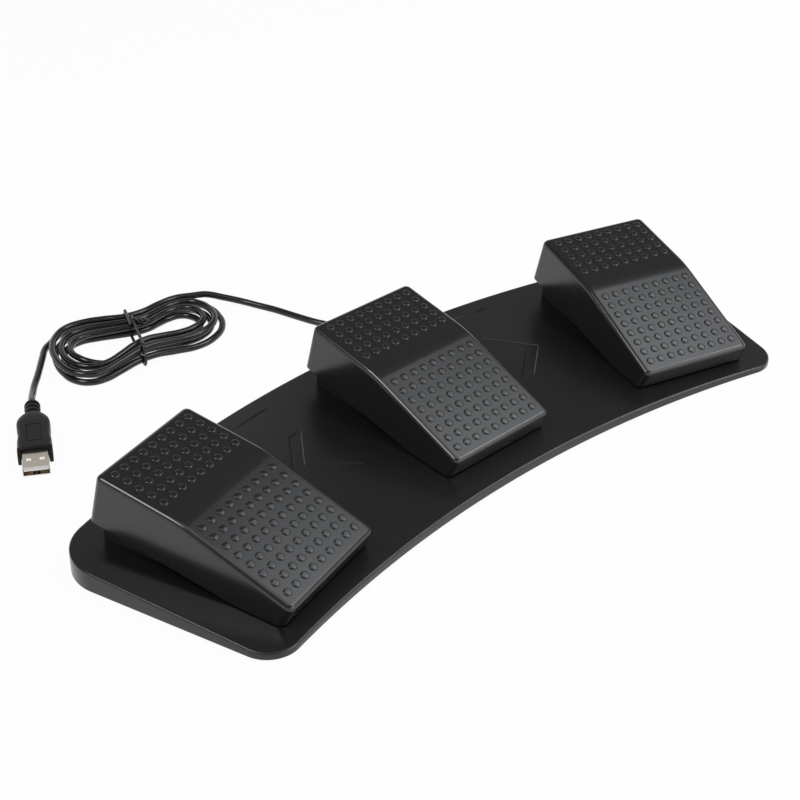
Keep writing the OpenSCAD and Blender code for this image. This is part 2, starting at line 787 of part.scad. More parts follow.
module base_bottom_cover() {
    color(deep_black) difference() {
        union() {
            translate([0, 0, foot_height]) linear_extrude(cover_thickness) cavity_plan(side_wall + cover_gap);
            at_board_screws() translate([0, 0, cover_top - slack]) cylinder(d = standoff_diameter, h = board_standoff + slack);
        }
        foot_seats();
        at_cover_screws() {
            cylinder(d = screw_diameter + 2 * screw_gap, h = rear_height);
            cylinder(d = screw_head + 2 * screw_gap, h = foot_height + screw_head_height);
        }
        at_board_screws() translate([0, 0, board_screw_foot - 0.2])
            cylinder(d = board_screw_diameter + 2 * thread_gap, h = rear_height);
    }
}

// A pan-head screw that points up, its head's underside at z = 0
module screw(diameter, head, head_height, length) {
    translate([0, 0, -head_height]) difference() {
        cylinder(d = head, h = head_height);
        translate([-head * 0.35, -0.3, -slack]) cube([head * 0.7, 0.6, slack + head_height * 0.5]);
        translate([-0.3, -head * 0.35, -slack]) cube([0.6, head * 0.7, slack + head_height * 0.5]);
    }
    translate([0, 0, -head_height / 2]) cylinder(d = diameter, h = length + head_height / 2);
}

module cover_screws() {
    color(steel) at_cover_screws() translate([0, 0, foot_height + screw_head_height])
        screw(screw_diameter, screw_head, screw_head_height, cover_screw_length);
}

module housing_screws() {
    color(steel) for (place = [-1, 0, 1]) on_pedal(place)
        at_housing_screws() translate([0, 0, -deck_thickness])
            screw(screw_diameter, screw_head, screw_head_height, housing_screw_length);
}

module rubber_feet() {
    color(rubber_grey) for (spot = concat(corner_feet, cover_feet))
        translate([spot[0], spot[1], 0]) cylinder(d = foot_diameter, h = foot_height + foot_recess);
}

// The rounded block that a pedal is cut from
module pedal_block() {
    inset = inset_profile(pedal_profile, edge_round);
    hull() for (s = [-1, 1]) {
        for (i = [1 : 3])
            translate([s * (top_half - edge_round), inset[i][0], inset[i][1]]) sphere(r = edge_round, $fn = 24);
        for (i = [0, 4, 5])
            translate([s * (foot_half - edge_round), inset[i][0], pedal_profile[i][1]])
                cylinder(r = edge_round, h = 0.5, $fn = 24);
    }
}

// The hollow under a pedal's top
module pedal_hollow() {
    inner = inset_profile(pedal_profile, pedal_wall);
    floor_z = -5;
    half = top_half - pedal_wall;
    translate([-half, 0, 0]) rotate([90, 0, 90]) linear_extrude(2 * half)
        polygon([
            [inner[0][0], floor_z],
            inner[0],
            inner[1],
            inner[2],
            inner[3],
            inner[4],
            [inner[4][0], floor_z]
        ]);
}

// One facet's bumps, in rows down the slope
module bumps(rows, margin) {
    sink = 0.4;
    for (row = [0 : rows - 1], column = [0 : bump_columns - 1])
        translate([(column - (bump_columns - 1) / 2) * bump_pitch, -margin - row * bump_pitch, -sink])
            cylinder(d1 = bump_diameter + 0.4, d2 = bump_diameter * 0.55, h = bump_height + sink);
}

module pedal(place) {
    ear_radius = pin_diameter / 2 + pin_clearance + ear_wall;
    ear_start = lug_width / 2 + ear_gap;
    ear_end = top_half - pedal_wall + 0.5;
    spring_boss = spring_diameter / 2 + spring_wire;
    spring_boss_top = pedal_height - (spring_back - spring_boss) * tan(upper_slope) - upper_skin + 0.2;
    pusher_rear = switch_y + pusher_diameter / 2;
    pusher_top = bend_z - (bend_y - pusher_rear) * tan(lower_slope) - lower_skin + 0.2;
    on_pedal(place) difference() {
        union() {
            difference() {
                pedal_block();
                pedal_hollow();
            }
            for (s = [0, 1]) mirror([s, 0, 0]) translate([ear_start, pivot_y, pivot_height]) rotate([0, 90, 0])
                cylinder(r = ear_radius, h = ear_end - ear_start);
            translate([0, -spring_back, spring_seat])
                cylinder(r = spring_boss, h = spring_boss_top - spring_seat);
            translate([0, switch_y, pusher_foot])
                cylinder(d = pusher_diameter, h = pusher_top - pusher_foot);
            translate([0, 0, pedal_height]) rotate([upper_slope, 0, 0]) bumps(upper_rows, upper_margin);
            translate([0, bend_y, bend_z]) rotate([lower_slope, 0, 0]) bumps(lower_rows, lower_margin);
        }
        for (s = [0, 1]) mirror([s, 0, 0]) translate([ear_start - slack, pivot_y, pivot_height]) rotate([0, 90, 0])
            cylinder(r = pin_diameter / 2 + pin_clearance, h = pin_half + pin_end_gap - ear_start + slack);
    }
}

module pedal_left() {
    color(black) pedal(-1);
}

module pedal_middle() {
    color(black) pedal(0);
}

module pedal_right() {
    color(black) pedal(1);
}

module pivot_pin(place) {
    on_pedal(place) translate([-pin_half, pivot_y, pivot_height]) rotate([0, 90, 0])
        cylinder(d = pin_diameter, h = 2 * pin_half);
}

module pivot_pin_left() {
    color(steel) pivot_pin(-1);
}

module pivot_pin_middle() {
    color(steel) pivot_pin(0);
}

module pivot_pin_right() {
    color(steel) pivot_pin(1);
}

module pedal_housing(place) {
    lug_front = pivot_y - housing_front;
    on_pedal(place) difference() {
        union() {
            difference() {
                union() {
                    block(housing_width / 2, housing_split, housing_rear, 0, housing_height);
                    block(lug_width / 2, lug_front, housing_split + housing_wall, 0, lug_height);
                }
                block(housing_width / 2 - housing_wall, housing_split + housing_wall, housing_rear - housing_wall,
                    -slack, housing_height - housing_wall + slack);
                block(lug_width / 2 - lug_wall, lug_front + housing_wall, housing_split + 2 * housing_wall,
                    -slack, lug_height - housing_wall + slack);
            }
            for (spot = housing_spots) translate([spot[0], spot[1], 0])
                cylinder(d = boss_diameter, h = spot[2]);
            translate([0, -spring_back, housing_height - housing_wall / 2])
                cylinder(r = spring_diameter / 2 - spring_wire - 0.7, h = housing_wall / 2 + 4);
        }
        translate([-lug_width, pivot_y, pivot_height]) rotate([0, 90, 0])
            cylinder(r = pin_diameter / 2 + pin_seat, h = 2 * lug_width);
        translate([0, switch_y, lug_height]) cylinder(r = pusher_hole, h = housing_height);
        at_housing_screws() translate([0, 0, -slack])
            cylinder(d = screw_diameter + 2 * thread_gap, h = housing_screw_length - deck_thickness + 2 * slack);
    }
}

module pedal_housing_left() {
    color(deep_black) pedal_housing(-1);
}

module pedal_housing_middle() {
    color(deep_black) pedal_housing(0);
}

module pedal_housing_right() {
    color(deep_black) pedal_housing(1);
}

module return_spring(place) {
    low = housing_height + spring_gap + spring_wire / 2;
    high = spring_seat - spring_gap - spring_wire / 2;
    steps = 12 * spring_turns;
    on_pedal(place) translate([0, -spring_back, 0])
        tube([
            for (i = [0 : steps])
                [
                    spring_diameter / 2 * cos(30 * i),
                    spring_diameter / 2 * sin(30 * i),
                    low + (high - low) * i / steps
                ]
        ], spring_wire / 2, 6);
}

module return_spring_left() {
    color(steel) return_spring(-1);
}

module return_spring_middle() {
    color(steel) return_spring(0);
}

module return_spring_right() {
    color(steel) return_spring(1);
}

module micro_switch(place) {
    on_pedal(place) difference() {
        block(switch_width / 2, switch_y - switch_depth / 2, switch_y + switch_depth / 2, switch_pad, switch_height);
        translate([0, switch_y, bore_floor])
            cylinder(r = plunger_diameter / 2 + plunger_clearance, h = switch_height + switch_pad);
    }
}

module micro_switch_left() {
    color(deep_black) micro_switch(-1);
}

module micro_switch_middle() {
    color(deep_black) micro_switch(0);
}

module micro_switch_right() {
    color(deep_black) micro_switch(1);
}

module switch_plunger(place) {
    tip = 0.6;
    on_pedal(place) translate([0, switch_y, 0]) {
        translate([0, 0, plunger_foot]) cylinder(d = plunger_diameter, h = plunger_top - tip - plunger_foot);
        translate([0, 0, plunger_top - tip]) cylinder(d1 = plunger_diameter, d2 = plunger_diameter - 2 * tip, h = tip);
    }
}

module switch_plunger_left() {
    color([0.75, 0.2, 0.15]) switch_plunger(-1);
}

module switch_plunger_middle() {
    color([0.75, 0.2, 0.15]) switch_plunger(0);
}

module switch_plunger_right() {
    color([0.75, 0.2, 0.15]) switch_plunger(1);
}

// A wire from a switch's rear face, down through the deck, to the face of its header
module switch_wires(place, run, header_face, header_dir) {
    face = switch_y + switch_depth / 2;
    bend = 2 * wire_diameter;
    upper = [
        [0, face, wire_level],
        [0, face + wire_diameter, wire_level],
        [0, wire_y - 2.4, wire_level - 0.4],
        [0, wire_y - 0.6, wire_level - 1.8],
        [0, wire_y, 0],
        [0, wire_y, -deck_thickness]
    ];
    tube(concat(
        [for (p = upper) from_pedal(place, p)],
        run,
        [header_face + bend * header_dir, header_face]
    ), wire_diameter / 2, 8, [1, -1, 1]);
}

module switch_wires_left() {
    color(deep_black) switch_wires(-1, left_run, header_faces[0], [-1, 0, 0]);
}

module switch_wires_middle() {
    color(deep_black) switch_wires(0, middle_run, header_faces[1], [-1, 0, 0]);
}

module switch_wires_right() {
    color(deep_black) switch_wires(1, right_run, header_faces[2], [1, 0, 0]);
}

module controller_board() {
    color(board_green) difference() {
        translate([board_x - board_width / 2, board_y - board_depth / 2, board_bottom])
            cube([board_width, board_depth, board_thickness]);
        at_board_screws() cylinder(d = board_screw_diameter + 2 * screw_gap, h = rear_height);
    }
}

module board_screws() {
    color(steel) at_board_screws() translate([0, 0, board_top]) mirror([0, 0, 1])
        screw(board_screw_diameter, board_screw_head, board_screw_head_height, board_top - board_screw_foot);
}

module board_components() {
    color(deep_black) translate([board_x, board_y, board_top]) {
        translate([-1, -4, 0]) cube([8, 8, 1.2]);
        translate([10, 4, 0]) cylinder(d = 4, h = 2);
        translate([10, -7, 0]) cube([3, 5, 1.4]);
        translate([-8, -9, 0]) cube([4, 2.4, 1.2]);
        translate([2, 7, 0]) cube([2.4, 1.6, 0.8]);
        translate([-5, 7, 0]) cube([2.4, 1.6, 0.8]);
    }
}

// Header housings: left, middle and right switch, and the cord
module board_headers() {
    color([0.85, 0.85, 0.8]) {
        for (i = [0, 1]) translate([header_faces[i][0], header_faces[i][1] - header_size[1] / 2, board_top])
            cube([header_size[0], header_size[1], header_height]);
        translate([header_faces[2][0] - header_size[0], header_faces[2][1] - header_size[1] / 2, board_top])
            cube([header_size[0], header_size[1], header_height]);
        translate([cord_header[0] - cord_header_size[0] / 2, cord_header[1] - cord_header_size[1], board_top])
            cube([cord_header_size[0], cord_header_size[1], cord_header_height]);
    }
}

// Outlet frame: z points out of the rear edge, along the cord
module at_outlet() {
    translate(outlet_point) rotate([0, 0, -outlet_turn]) rotate([-90, 0, 0]) children();
}

module cord_strain_relief() {
    rib = (relief_length - flange_thickness) / 5;
    slope = (relief_radius - relief_tip_radius) / (relief_length - flange_thickness);
    color(deep_black) difference() {
        at_outlet() rotate_extrude() polygon([
            [0, -side_wall - flange_gap - flange_thickness],
            [flange_radius, -side_wall - flange_gap - flange_thickness],
            [flange_radius, -side_wall - flange_gap],
            [relief_radius, -side_wall - flange_gap],
            [relief_radius, 0],
            [flange_radius, 0],
            [flange_radius, flange_thickness],
            [relief_radius, flange_thickness],
            [relief_radius - slope * rib, flange_thickness + rib],
            [relief_radius - slope * rib - relief_groove, flange_thickness + rib],
            [relief_radius - slope * 2 * rib - relief_groove, flange_thickness + 2 * rib],
            [relief_radius - slope * 2 * rib, flange_thickness + 2 * rib],
            [relief_radius - slope * 3 * rib, flange_thickness + 3 * rib],
            [relief_radius - slope * 3 * rib - relief_groove, flange_thickness + 3 * rib],
            [relief_radius - slope * 4 * rib - relief_groove, flange_thickness + 4 * rib],
            [relief_radius - slope * 4 * rib, flange_thickness + 4 * rib],
            [relief_tip_radius, relief_length],
            [0, relief_length]
        ]);
        translate([outlet_x - 20, rear_y - 20, 0]) cube([40, 20 - side_wall, cover_top + cover_gap]);
        translate([outlet_x - 20, rear_y - 20, flange_ceiling]) cube([40, 20 - side_wall, rear_height]);
    }
}

module cord_inner_lead() {
    start = outlet_point - (side_wall + flange_gap + flange_thickness) * outlet_dir;
    color(deep_black) tube([
        start,
        start - cord_diameter * outlet_dir,
        [cord_header[0], cord_header[1] + 2 * cord_diameter, (outlet_height + cord_header[2]) / 2],
        [cord_header[0], cord_header[1] + cord_diameter, cord_header[2]],
        cord_header
    ], cord_radius, 8);
}

module cord_lead() {
    color(deep_black) tube(lead_route, cord_radius, 8);
}

module cord_hank() {
    color(deep_black) tube(hank_path, cord_radius, 6);
}

module hank_tie() {
    color(black) tube([for (p = tie_route) tie_place(p)], tie_diameter / 2, 8, [cos(tie_turn), sin(tie_turn), 0]);
}

module cord_tail() {
    color(deep_black) tube(tail_route, cord_radius, 8);
}

// Plug frame: x runs from the cord to the plug's tip, z is up, with the axis at z = 0
module on_plug() {
    translate(plug_neck) rotate([0, 0, plug_turn]) children();
}

module plug_overmould() {
    half = plug_width / 2;
    pocket_half = shell_width / 2 + shell_gap;
    pocket_rise = shell_thickness / 2 + shell_gap;
    shoulder = neck_length + 7;
    rib_step = neck_length / rib_count;
    color(deep_black) on_plug() difference() {
        union() {
            rotate([0, 90, 0]) cylinder(r = neck_radius, h = neck_length + slack);
            for (i = [0 : rib_count - 1]) translate([rib_step * (i + 0.5) - rib_width / 2, 0, 0])
                rotate([0, 90, 0]) cylinder(r = rib_radius, h = rib_width);
            intersection() {
                translate([0, 0, -plug_thickness / 2]) linear_extrude(plug_thickness)
                    polygon([
                        [neck_length, -rib_radius],
                        [neck_length + 2, -rib_radius - 0.6],
                        [shoulder - 1.5, -half + 1],
                        [shoulder, -half],
                        [body_end + ear_length, -half],
                        [body_end + ear_length, half],
                        [shoulder, half],
                        [shoulder - 1.5, half - 1],
                        [neck_length + 2, rib_radius + 0.6],
                        [neck_length, rib_radius]
                    ]);
                rotate([90, 0, 0]) translate([0, 0, -plug_width]) linear_extrude(2 * plug_width)
                    polygon([
                        [neck_length, -rib_radius],
                        [shoulder, -plug_thickness / 2],
                        [body_end + ear_length, -plug_thickness / 2],
                        [body_end + ear_length, plug_thickness / 2],
                        [shoulder, plug_thickness / 2],
                        [neck_length, rib_radius]
                    ]);
            }
        }
        translate([body_end - shell_seat, -pocket_half, -pocket_rise])
            cube([shell_seat + shell_length, 2 * pocket_half, 2 * pocket_rise]);
        translate([body_end, -pocket_half, -plug_thickness]) cube([shell_length, 2 * pocket_half, 2 * plug_thickness]);
        translate([neck_length + 10.5, -3.1, plug_thickness / 2 - 0.4]) cube([14, 6.2, 1]);
    }
}

module plug_shell() {
    inner_half = shell_width / 2 - shell_sheet;
    inner_rise = shell_thickness / 2 - shell_sheet;
    color(nickel) on_plug() difference() {
        translate([body_end - shell_seat, -shell_width / 2, -shell_thickness / 2])
            cube([shell_seat + shell_length, shell_width, shell_thickness]);
        translate([body_end - shell_seat - slack, -inner_half, -inner_rise])
            cube([shell_seat + shell_length + 2 * slack, 2 * inner_half, 2 * inner_rise]);
        for (s = [-1, 1]) translate([body_end + shell_length - 7.6, s * 2.9 - 1.2, -shell_thickness])
            cube([2.4, 2.4, 2 * shell_thickness]);
    }
}

module plug_tongue() {
    color(ivory) on_plug()
        translate([body_end - shell_seat, -tongue_half, tongue_foot])
            cube([shell_seat + shell_length - 0.4, 2 * tongue_half, tongue_thickness]);
}

module plug_contacts() {
    color(gold) on_plug() for (y = [-3.5, -1, 1, 3.5])
        translate([body_end + shell_length - 9, y - 0.5, tongue_foot - contact_thickness])
            cube([8, 1, contact_thickness]);
}

fine_loops = [for (t = [hank_start : 3 : hank_end]) hank_point(t)];
echo(hank_least_gap = least_gap(fine_loops, 20, cord_diameter));
echo(cord_length = path_length(lead_route) + path_length(hank_path) + path_length(tail_route));

base_top_shell();
base_bottom_cover();
cover_screws();
rubber_feet();
pedal_left();
pedal_middle();
pedal_right();
pivot_pin_left();
pivot_pin_middle();
pivot_pin_right();
pedal_housing_left();
pedal_housing_middle();
pedal_housing_right();
housing_screws();
return_spring_left();
return_spring_middle();
return_spring_right();
micro_switch_left();
micro_switch_middle();
micro_switch_right();
switch_plunger_left();
switch_plunger_middle();
switch_plunger_right();
switch_wires_left();
switch_wires_middle();
switch_wires_right();
controller_board();
board_components();
board_headers();
board_screws();
cord_strain_relief();
cord_inner_lead();
cord_lead();
cord_hank();
hank_tie();
cord_tail();
plug_overmould();
plug_shell();
plug_tongue();
plug_contacts();
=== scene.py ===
import math

import bmesh
import bpy
from mathutils import Matrix, Vector


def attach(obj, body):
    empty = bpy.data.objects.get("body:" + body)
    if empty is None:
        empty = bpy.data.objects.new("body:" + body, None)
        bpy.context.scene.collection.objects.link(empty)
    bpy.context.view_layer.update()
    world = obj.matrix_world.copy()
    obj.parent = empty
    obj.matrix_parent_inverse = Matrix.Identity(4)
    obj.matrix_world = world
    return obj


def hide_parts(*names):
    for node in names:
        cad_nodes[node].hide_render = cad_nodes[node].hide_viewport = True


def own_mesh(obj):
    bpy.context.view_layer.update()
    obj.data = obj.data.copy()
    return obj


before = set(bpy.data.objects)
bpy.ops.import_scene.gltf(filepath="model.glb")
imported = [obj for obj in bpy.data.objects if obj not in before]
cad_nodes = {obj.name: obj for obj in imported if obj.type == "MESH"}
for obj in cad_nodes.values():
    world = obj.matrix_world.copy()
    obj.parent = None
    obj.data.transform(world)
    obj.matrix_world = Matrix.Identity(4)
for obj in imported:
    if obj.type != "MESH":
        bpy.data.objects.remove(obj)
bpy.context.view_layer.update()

MM = 0.001
scene = bpy.context.scene
SIDES = {"left": -1, "middle": 0, "right": 1}


def turned(degrees, axis):
    return Matrix.Rotation(math.radians(degrees), 4, axis)


def moved(x, y, z):
    return Matrix.Translation((x * MM, y * MM, z * MM))


# Base sizes, in millimetres
REAR_Y = 68.4127
REAR_RADIUS = 552
FRONT_RADIUS = 562
MID_DEPTH = 116.6
REAR_CORNER = (163.1358, 20.6812)
REAR_ROUND = 22
FRONT_CORNER = (151.2966, -54.4127)
FRONT_ROUND = 14
BASE_FOOT = 1
COVER_TOP = 3
REAR_HEIGHT = 13.8
DECK_SLOPE = 4.1
DECK_THICKNESS = 2
SIDE_WALL = 2.4
CAVITY_FRONT = -45.9
PEDAL_FAN = 15
PEDAL_SPACING = 140.9

# Frames of the deck, of each pedal, of the cord's outlet and of the plug
DECK = moved(0, REAR_Y, REAR_HEIGHT) @ turned(DECK_SLOPE, "X")
PEDAL_BACK = 11.3
OUTER_STEP = 20.2
PEDAL_SEAT = {
    side: (DECK @ moved(place * PEDAL_SPACING, -PEDAL_BACK - abs(place) * OUTER_STEP, 0)
           @ turned(-place * PEDAL_FAN, "Z"))
    for side, place in SIDES.items()
}
OUTLET_X = 33
OUTLET_HEIGHT = 6.5
OUTLET_TURN = math.degrees(math.asin(OUTLET_X / REAR_RADIUS))
OUTLET = moved(0, REAR_Y - REAR_RADIUS, OUTLET_HEIGHT) @ turned(-OUTLET_TURN, "Z") @ moved(0, REAR_RADIUS, 0)
PLUG_NECK = (-124.6, 144.5, 4)
PLUG_TURN = -122
PLUG = moved(*PLUG_NECK) @ turned(PLUG_TURN, "Z")


# Camera at the photograph's place, with its right and up directions
CAMERA_PLACE = (-0.47005, -0.44847, 0.42190)
CAMERA_RIGHT = Vector((0.71531, -0.69877, 0.00716))
CAMERA_UP = Vector((0.36458, 0.38192, 0.84924))
FOCAL_LENGTH = 76.34
SENSOR_WIDTH = 36


def add_camera():
    lens = bpy.data.cameras.new("photo_camera")
    lens.lens = FOCAL_LENGTH
    lens.sensor_width = SENSOR_WIDTH
    lens.clip_start = 0.01
    camera = bpy.data.objects.new("photo_camera", lens)
    turn = Matrix((CAMERA_RIGHT, CAMERA_UP, CAMERA_RIGHT.cross(CAMERA_UP))).transposed().to_4x4()
    camera.matrix_world = Matrix.Translation(CAMERA_PLACE) @ turn
    scene.collection.objects.link(camera)
    scene.camera = camera


add_camera()


# Shared effects, as node groups
def add_node(tree, kind, values=None, **settings):
    """A shader node of a kind, with its settings and the values of its inputs."""
    node = tree.nodes.new("ShaderNode" + kind)
    for name, value in settings.items():
        setattr(node, name, value)
    for name, value in (values or {}).items():
        node.inputs[name].default_value = value
    return node


def add_link(tree, source, target):
    tree.links.new(source, target)


def new_group(name, inputs, outputs):
    group = bpy.data.node_groups.new(name, "ShaderNodeTree")
    for socket_name, value in inputs:
        socket = group.interface.new_socket(socket_name, in_out="INPUT", socket_type="NodeSocketFloat")
        socket.default_value = value
    for socket_name in outputs:
        group.interface.new_socket(socket_name, in_out="OUTPUT", socket_type="NodeSocketFloat")
    return group, group.nodes.new("NodeGroupInput"), group.nodes.new("NodeGroupOutput")


def moulded_grain():
    """The spark-eroded grain of a mould: a fine height, and slow patches over it."""
    group, given, out = new_group(
        "moulded_grain", [("Grain scale", 2600), ("Patch scale", 45)], ["Height", "Patches"])
    place = add_node(group, "TexCoord")
    fine = add_node(group, "TexNoise", {"Detail": 2, "Roughness": 0.6})
    patches = add_node(group, "TexNoise", {"Detail": 3})
    add_link(group, place.outputs["Object"], fine.inputs["Vector"])
    add_link(group, place.outputs["Object"], patches.inputs["Vector"])
    add_link(group, given.outputs["Grain scale"], fine.inputs["Scale"])
    add_link(group, given.outputs["Patch scale"], patches.inputs["Scale"])
    add_link(group, fine.outputs["Fac"], out.inputs["Height"])
    add_link(group, patches.outputs["Fac"], out.inputs["Patches"])
    return group


def handling_marks():
    """Faint rubbed streaks and settled dust, as a mask."""
    group, given, out = new_group("handling_marks", [("Streak scale", 90), ("Amount", 0.3)], ["Mask"])
    place = add_node(group, "TexCoord")
    stretch = add_node(group, "Mapping", {"Rotation": (0.2, 0.1, 0.6), "Scale": (1, 7, 3)})
    streaks = add_node(group, "TexNoise", {"Detail": 5})
    limit = add_node(group, "MapRange", {"From Min": 0.55, "From Max": 0.8})
    scaled = add_node(group, "Math", operation="MULTIPLY")
    add_link(group, place.outputs["Object"], stretch.inputs["Vector"])
    add_link(group, stretch.outputs["Vector"], streaks.inputs["Vector"])
    add_link(group, given.outputs["Streak scale"], streaks.inputs["Scale"])
    add_link(group, streaks.outputs["Fac"], limit.inputs["Value"])
    add_link(group, limit.outputs["Result"], scaled.inputs[0])
    add_link(group, given.outputs["Amount"], scaled.inputs[1])
    add_link(group, scaled.outputs["Value"], out.inputs["Mask"])
    return group


GRAIN = moulded_grain()
MARKS = handling_marks()


def moulded_finish(name, tone, worn, rough, grain=2600, patch=45, depth=0.02, streaks=90, amount=0.3,
                   metallic=0.0, specular=0.5):
    """A finish with grain, patches and handling marks. tone and worn are colours, rough is the range of roughness,
    depth is the grain's height in millimetres."""
    finish = bpy.data.materials.new(name)
    finish.use_nodes = True
    tree = finish.node_tree
    shader = tree.nodes["Principled BSDF"]
    shader.inputs["Metallic"].default_value = metallic
    shader.inputs["Specular IOR Level"].default_value = specular
    grained = add_node(tree, "Group", {"Grain scale": grain, "Patch scale": patch}, node_tree=GRAIN)
    handled = add_node(tree, "Group", {"Streak scale": streaks, "Amount": amount}, node_tree=MARKS)
    colour = add_node(tree, "Mix", {"A": (*tone, 1), "B": (*worn, 1)}, data_type="RGBA")
    share = add_node(tree, "Math", {1: 0.5}, operation="MULTIPLY_ADD")
    gloss = add_node(tree, "MapRange", {"From Min": 0.3, "From Max": 0.75, "To Min": rough[0], "To Max": rough[1]})
    bump = add_node(tree, "Bump", {"Strength": 1, "Distance": depth * MM})
    add_link(tree, grained.outputs["Patches"], share.inputs[0])
    add_link(tree, handled.outputs["Mask"], share.inputs[2])
    add_link(tree, share.outputs["Value"], colour.inputs["Factor"])
    add_link(tree, colour.outputs["Result"], shader.inputs["Base Color"])
    add_link(tree, share.outputs["Value"], gloss.inputs["Value"])
    add_link(tree, gloss.outputs["Result"], shader.inputs["Roughness"])
    add_link(tree, grained.outputs["Height"], bump.inputs["Height"])
    add_link(tree, bump.outputs["Normal"], shader.inputs["Normal"])
    return finish


PEDAL_TONE = (0.0092, 0.0092, 0.0099)
PEDAL_WORN = (0.0130, 0.0133, 0.0144)
PEDAL_BLACK = moulded_finish("pedal_black", PEDAL_TONE, PEDAL_WORN, (0.18, 0.25),
                             depth=0.003, amount=0.15, specular=0.6)
BUMP_BLACK = moulded_finish("bump_black", PEDAL_TONE, PEDAL_WORN, (0.07, 0.11),
                            depth=0.0006, amount=0.15, specular=0.6)
DECK_BLACK = moulded_finish("deck_black", (0.0068, 0.0069, 0.0073), (0.0092, 0.0094, 0.0098), (0.27, 0.33),
                            grain=3000, depth=0.0015, amount=0.03)
HOUSING_BLACK = moulded_finish("housing_black", (0.010, 0.010, 0.011), (0.016, 0.016, 0.017), (0.34, 0.46),
                               depth=0.008)
CORD_BLACK = moulded_finish("cord_black", (0.0050, 0.0050, 0.0054), (0.0085, 0.0085, 0.0090), (0.19, 0.25),
                            grain=1800, patch=120, depth=0.0006, streaks=60, amount=0.1)
TIE_BLACK = moulded_finish("tie_black", (0.008, 0.008, 0.0085), (0.014, 0.014, 0.015), (0.22, 0.34),
                           grain=2400, patch=200, depth=0.006)
PLUG_BLACK = moulded_finish("plug_black", (0.0055, 0.0055, 0.0059), (0.0092, 0.0092, 0.0098), (0.40, 0.52),
                            grain=2400, patch=160, depth=0.010, specular=0.2)
FOOT_RUBBER = moulded_finish("foot_rubber", (0.022, 0.022, 0.022), (0.035, 0.035, 0.034), (0.62, 0.78),
                             grain=1500, patch=260, depth=0.03)
PLATED_STEEL = moulded_finish("plated_steel", (0.52, 0.53, 0.55), (0.40, 0.40, 0.41), (0.22, 0.36),
                              grain=3800, patch=300, depth=0.004, streaks=500, metallic=1.0)
SPRING_STEEL = moulded_finish("spring_steel", (0.46, 0.47, 0.49), (0.34, 0.34, 0.35), (0.24, 0.38),
                              grain=3000, patch=400, depth=0.004, streaks=600, metallic=1.0)
SHELL_NICKEL = moulded_finish("shell_nickel", (0.66, 0.605, 0.545), (0.56, 0.51, 0.455), (0.26, 0.38),
                              patch=220, depth=0.010, streaks=420, amount=0.4, metallic=1.0)
CONTACT_GOLD = moulded_finish("contact_gold", (0.30, 0.20, 0.08), (0.25, 0.16, 0.06), (0.18, 0.30),
                              grain=3600, patch=500, depth=0.003, streaks=700, metallic=1.0)
BOARD_GREEN = moulded_finish("board_green", (0.012, 0.075, 0.032), (0.020, 0.11, 0.05), (0.24, 0.38),
                             grain=1600, patch=180, depth=0.01, streaks=200)
TONGUE_WHITE = moulded_finish("tongue_white", (0.86, 0.85, 0.82), (0.80, 0.79, 0.75), (0.34, 0.46),
                              grain=2200, patch=240, depth=0.004, amount=0.1)
HEADER_WHITE = moulded_finish("header_white", (0.70, 0.68, 0.61), (0.60, 0.57, 0.50), (0.36, 0.5),
                              grain=2200, patch=240, depth=0.008)
PART_BLACK = moulded_finish("component_black", (0.015, 0.015, 0.016), (0.026, 0.026, 0.027), (0.4, 0.55),
                            grain=2400, patch=260, depth=0.01)
PLUNGER_RED = moulded_finish("plunger_red", (0.42, 0.032, 0.022), (0.34, 0.03, 0.024), (0.3, 0.42),
                             patch=300, depth=0.006)


# How pieces are finished and seated
def add_piece(name, bm, finish):
    mesh = bpy.data.meshes.new(name)
    bm.to_mesh(mesh)
    bm.free()
    mesh.materials.append(finish)
    piece = bpy.data.objects.new(name, mesh)
    scene.collection.objects.link(piece)
    return piece


def shade(piece, sharp=38):
    piece.data.shade_smooth()
    piece.data.set_sharp_from_angle(angle=math.radians(sharp))
    even = piece.modifiers.new("even_shading", "WEIGHTED_NORMAL")
    even.keep_sharp = True
    even.weight = 80


def seat(piece, body, slot, *stands_for):
    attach(piece, body)
    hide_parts(*stands_for)
    return piece


def evaluated_mesh(piece):
    """A new mesh of a piece, with its modifiers applied."""
    bpy.context.view_layer.update()
    return bpy.data.meshes.new_from_object(piece.evaluated_get(bpy.context.evaluated_depsgraph_get()))


def cut_away(piece, cutter):
    """Takes a cutter's shells out of a piece, for good."""
    cut = piece.modifiers.new("cut", "BOOLEAN")
    cut.operation = "DIFFERENCE"
    cut.solver = "EXACT"
    cut.use_self = True
    cut.object = cutter
    result = evaluated_mesh(piece)
    piece.modifiers.clear()
    old = piece.data
    piece.data = result
    result.name = piece.name
    bpy.data.meshes.remove(old)
    bpy.data.objects.remove(cutter)


MERGE_REACH = 0.002


def face_outward(bm):
    bmesh.ops.recalc_face_normals(bm, faces=bm.faces[:])


def verts_in(geometry):
    return [g for g in geometry if isinstance(g, bmesh.types.BMVert)]


def close_shapes(bm):
    bmesh.ops.remove_doubles(bm, verts=bm.verts[:], dist=MERGE_REACH * MM)
    face_outward(bm)


def add_block(bm, low, high, frame_matrix):
    """A box between two corners, in millimetres of the given frame. Returns its vertices."""
    size = Vector(high) - Vector(low)
    centre = (Vector(high) + Vector(low)) / 2
    scaled = Matrix.Diagonal((*(size * MM), 1))
    made = bmesh.ops.create_cube(bm, size=1, matrix=frame_matrix @ moved(*centre) @ scaled)
    return made["verts"]


def add_rod(bm, radius, length, frame_matrix):
    """A round rod that starts at the frame's origin and runs along its z."""
    bmesh.ops.create_cone(bm, cap_ends=True, segments=32, radius1=radius * MM, radius2=radius * MM,
                          depth=length * MM, matrix=frame_matrix @ moved(0, 0, length / 2))


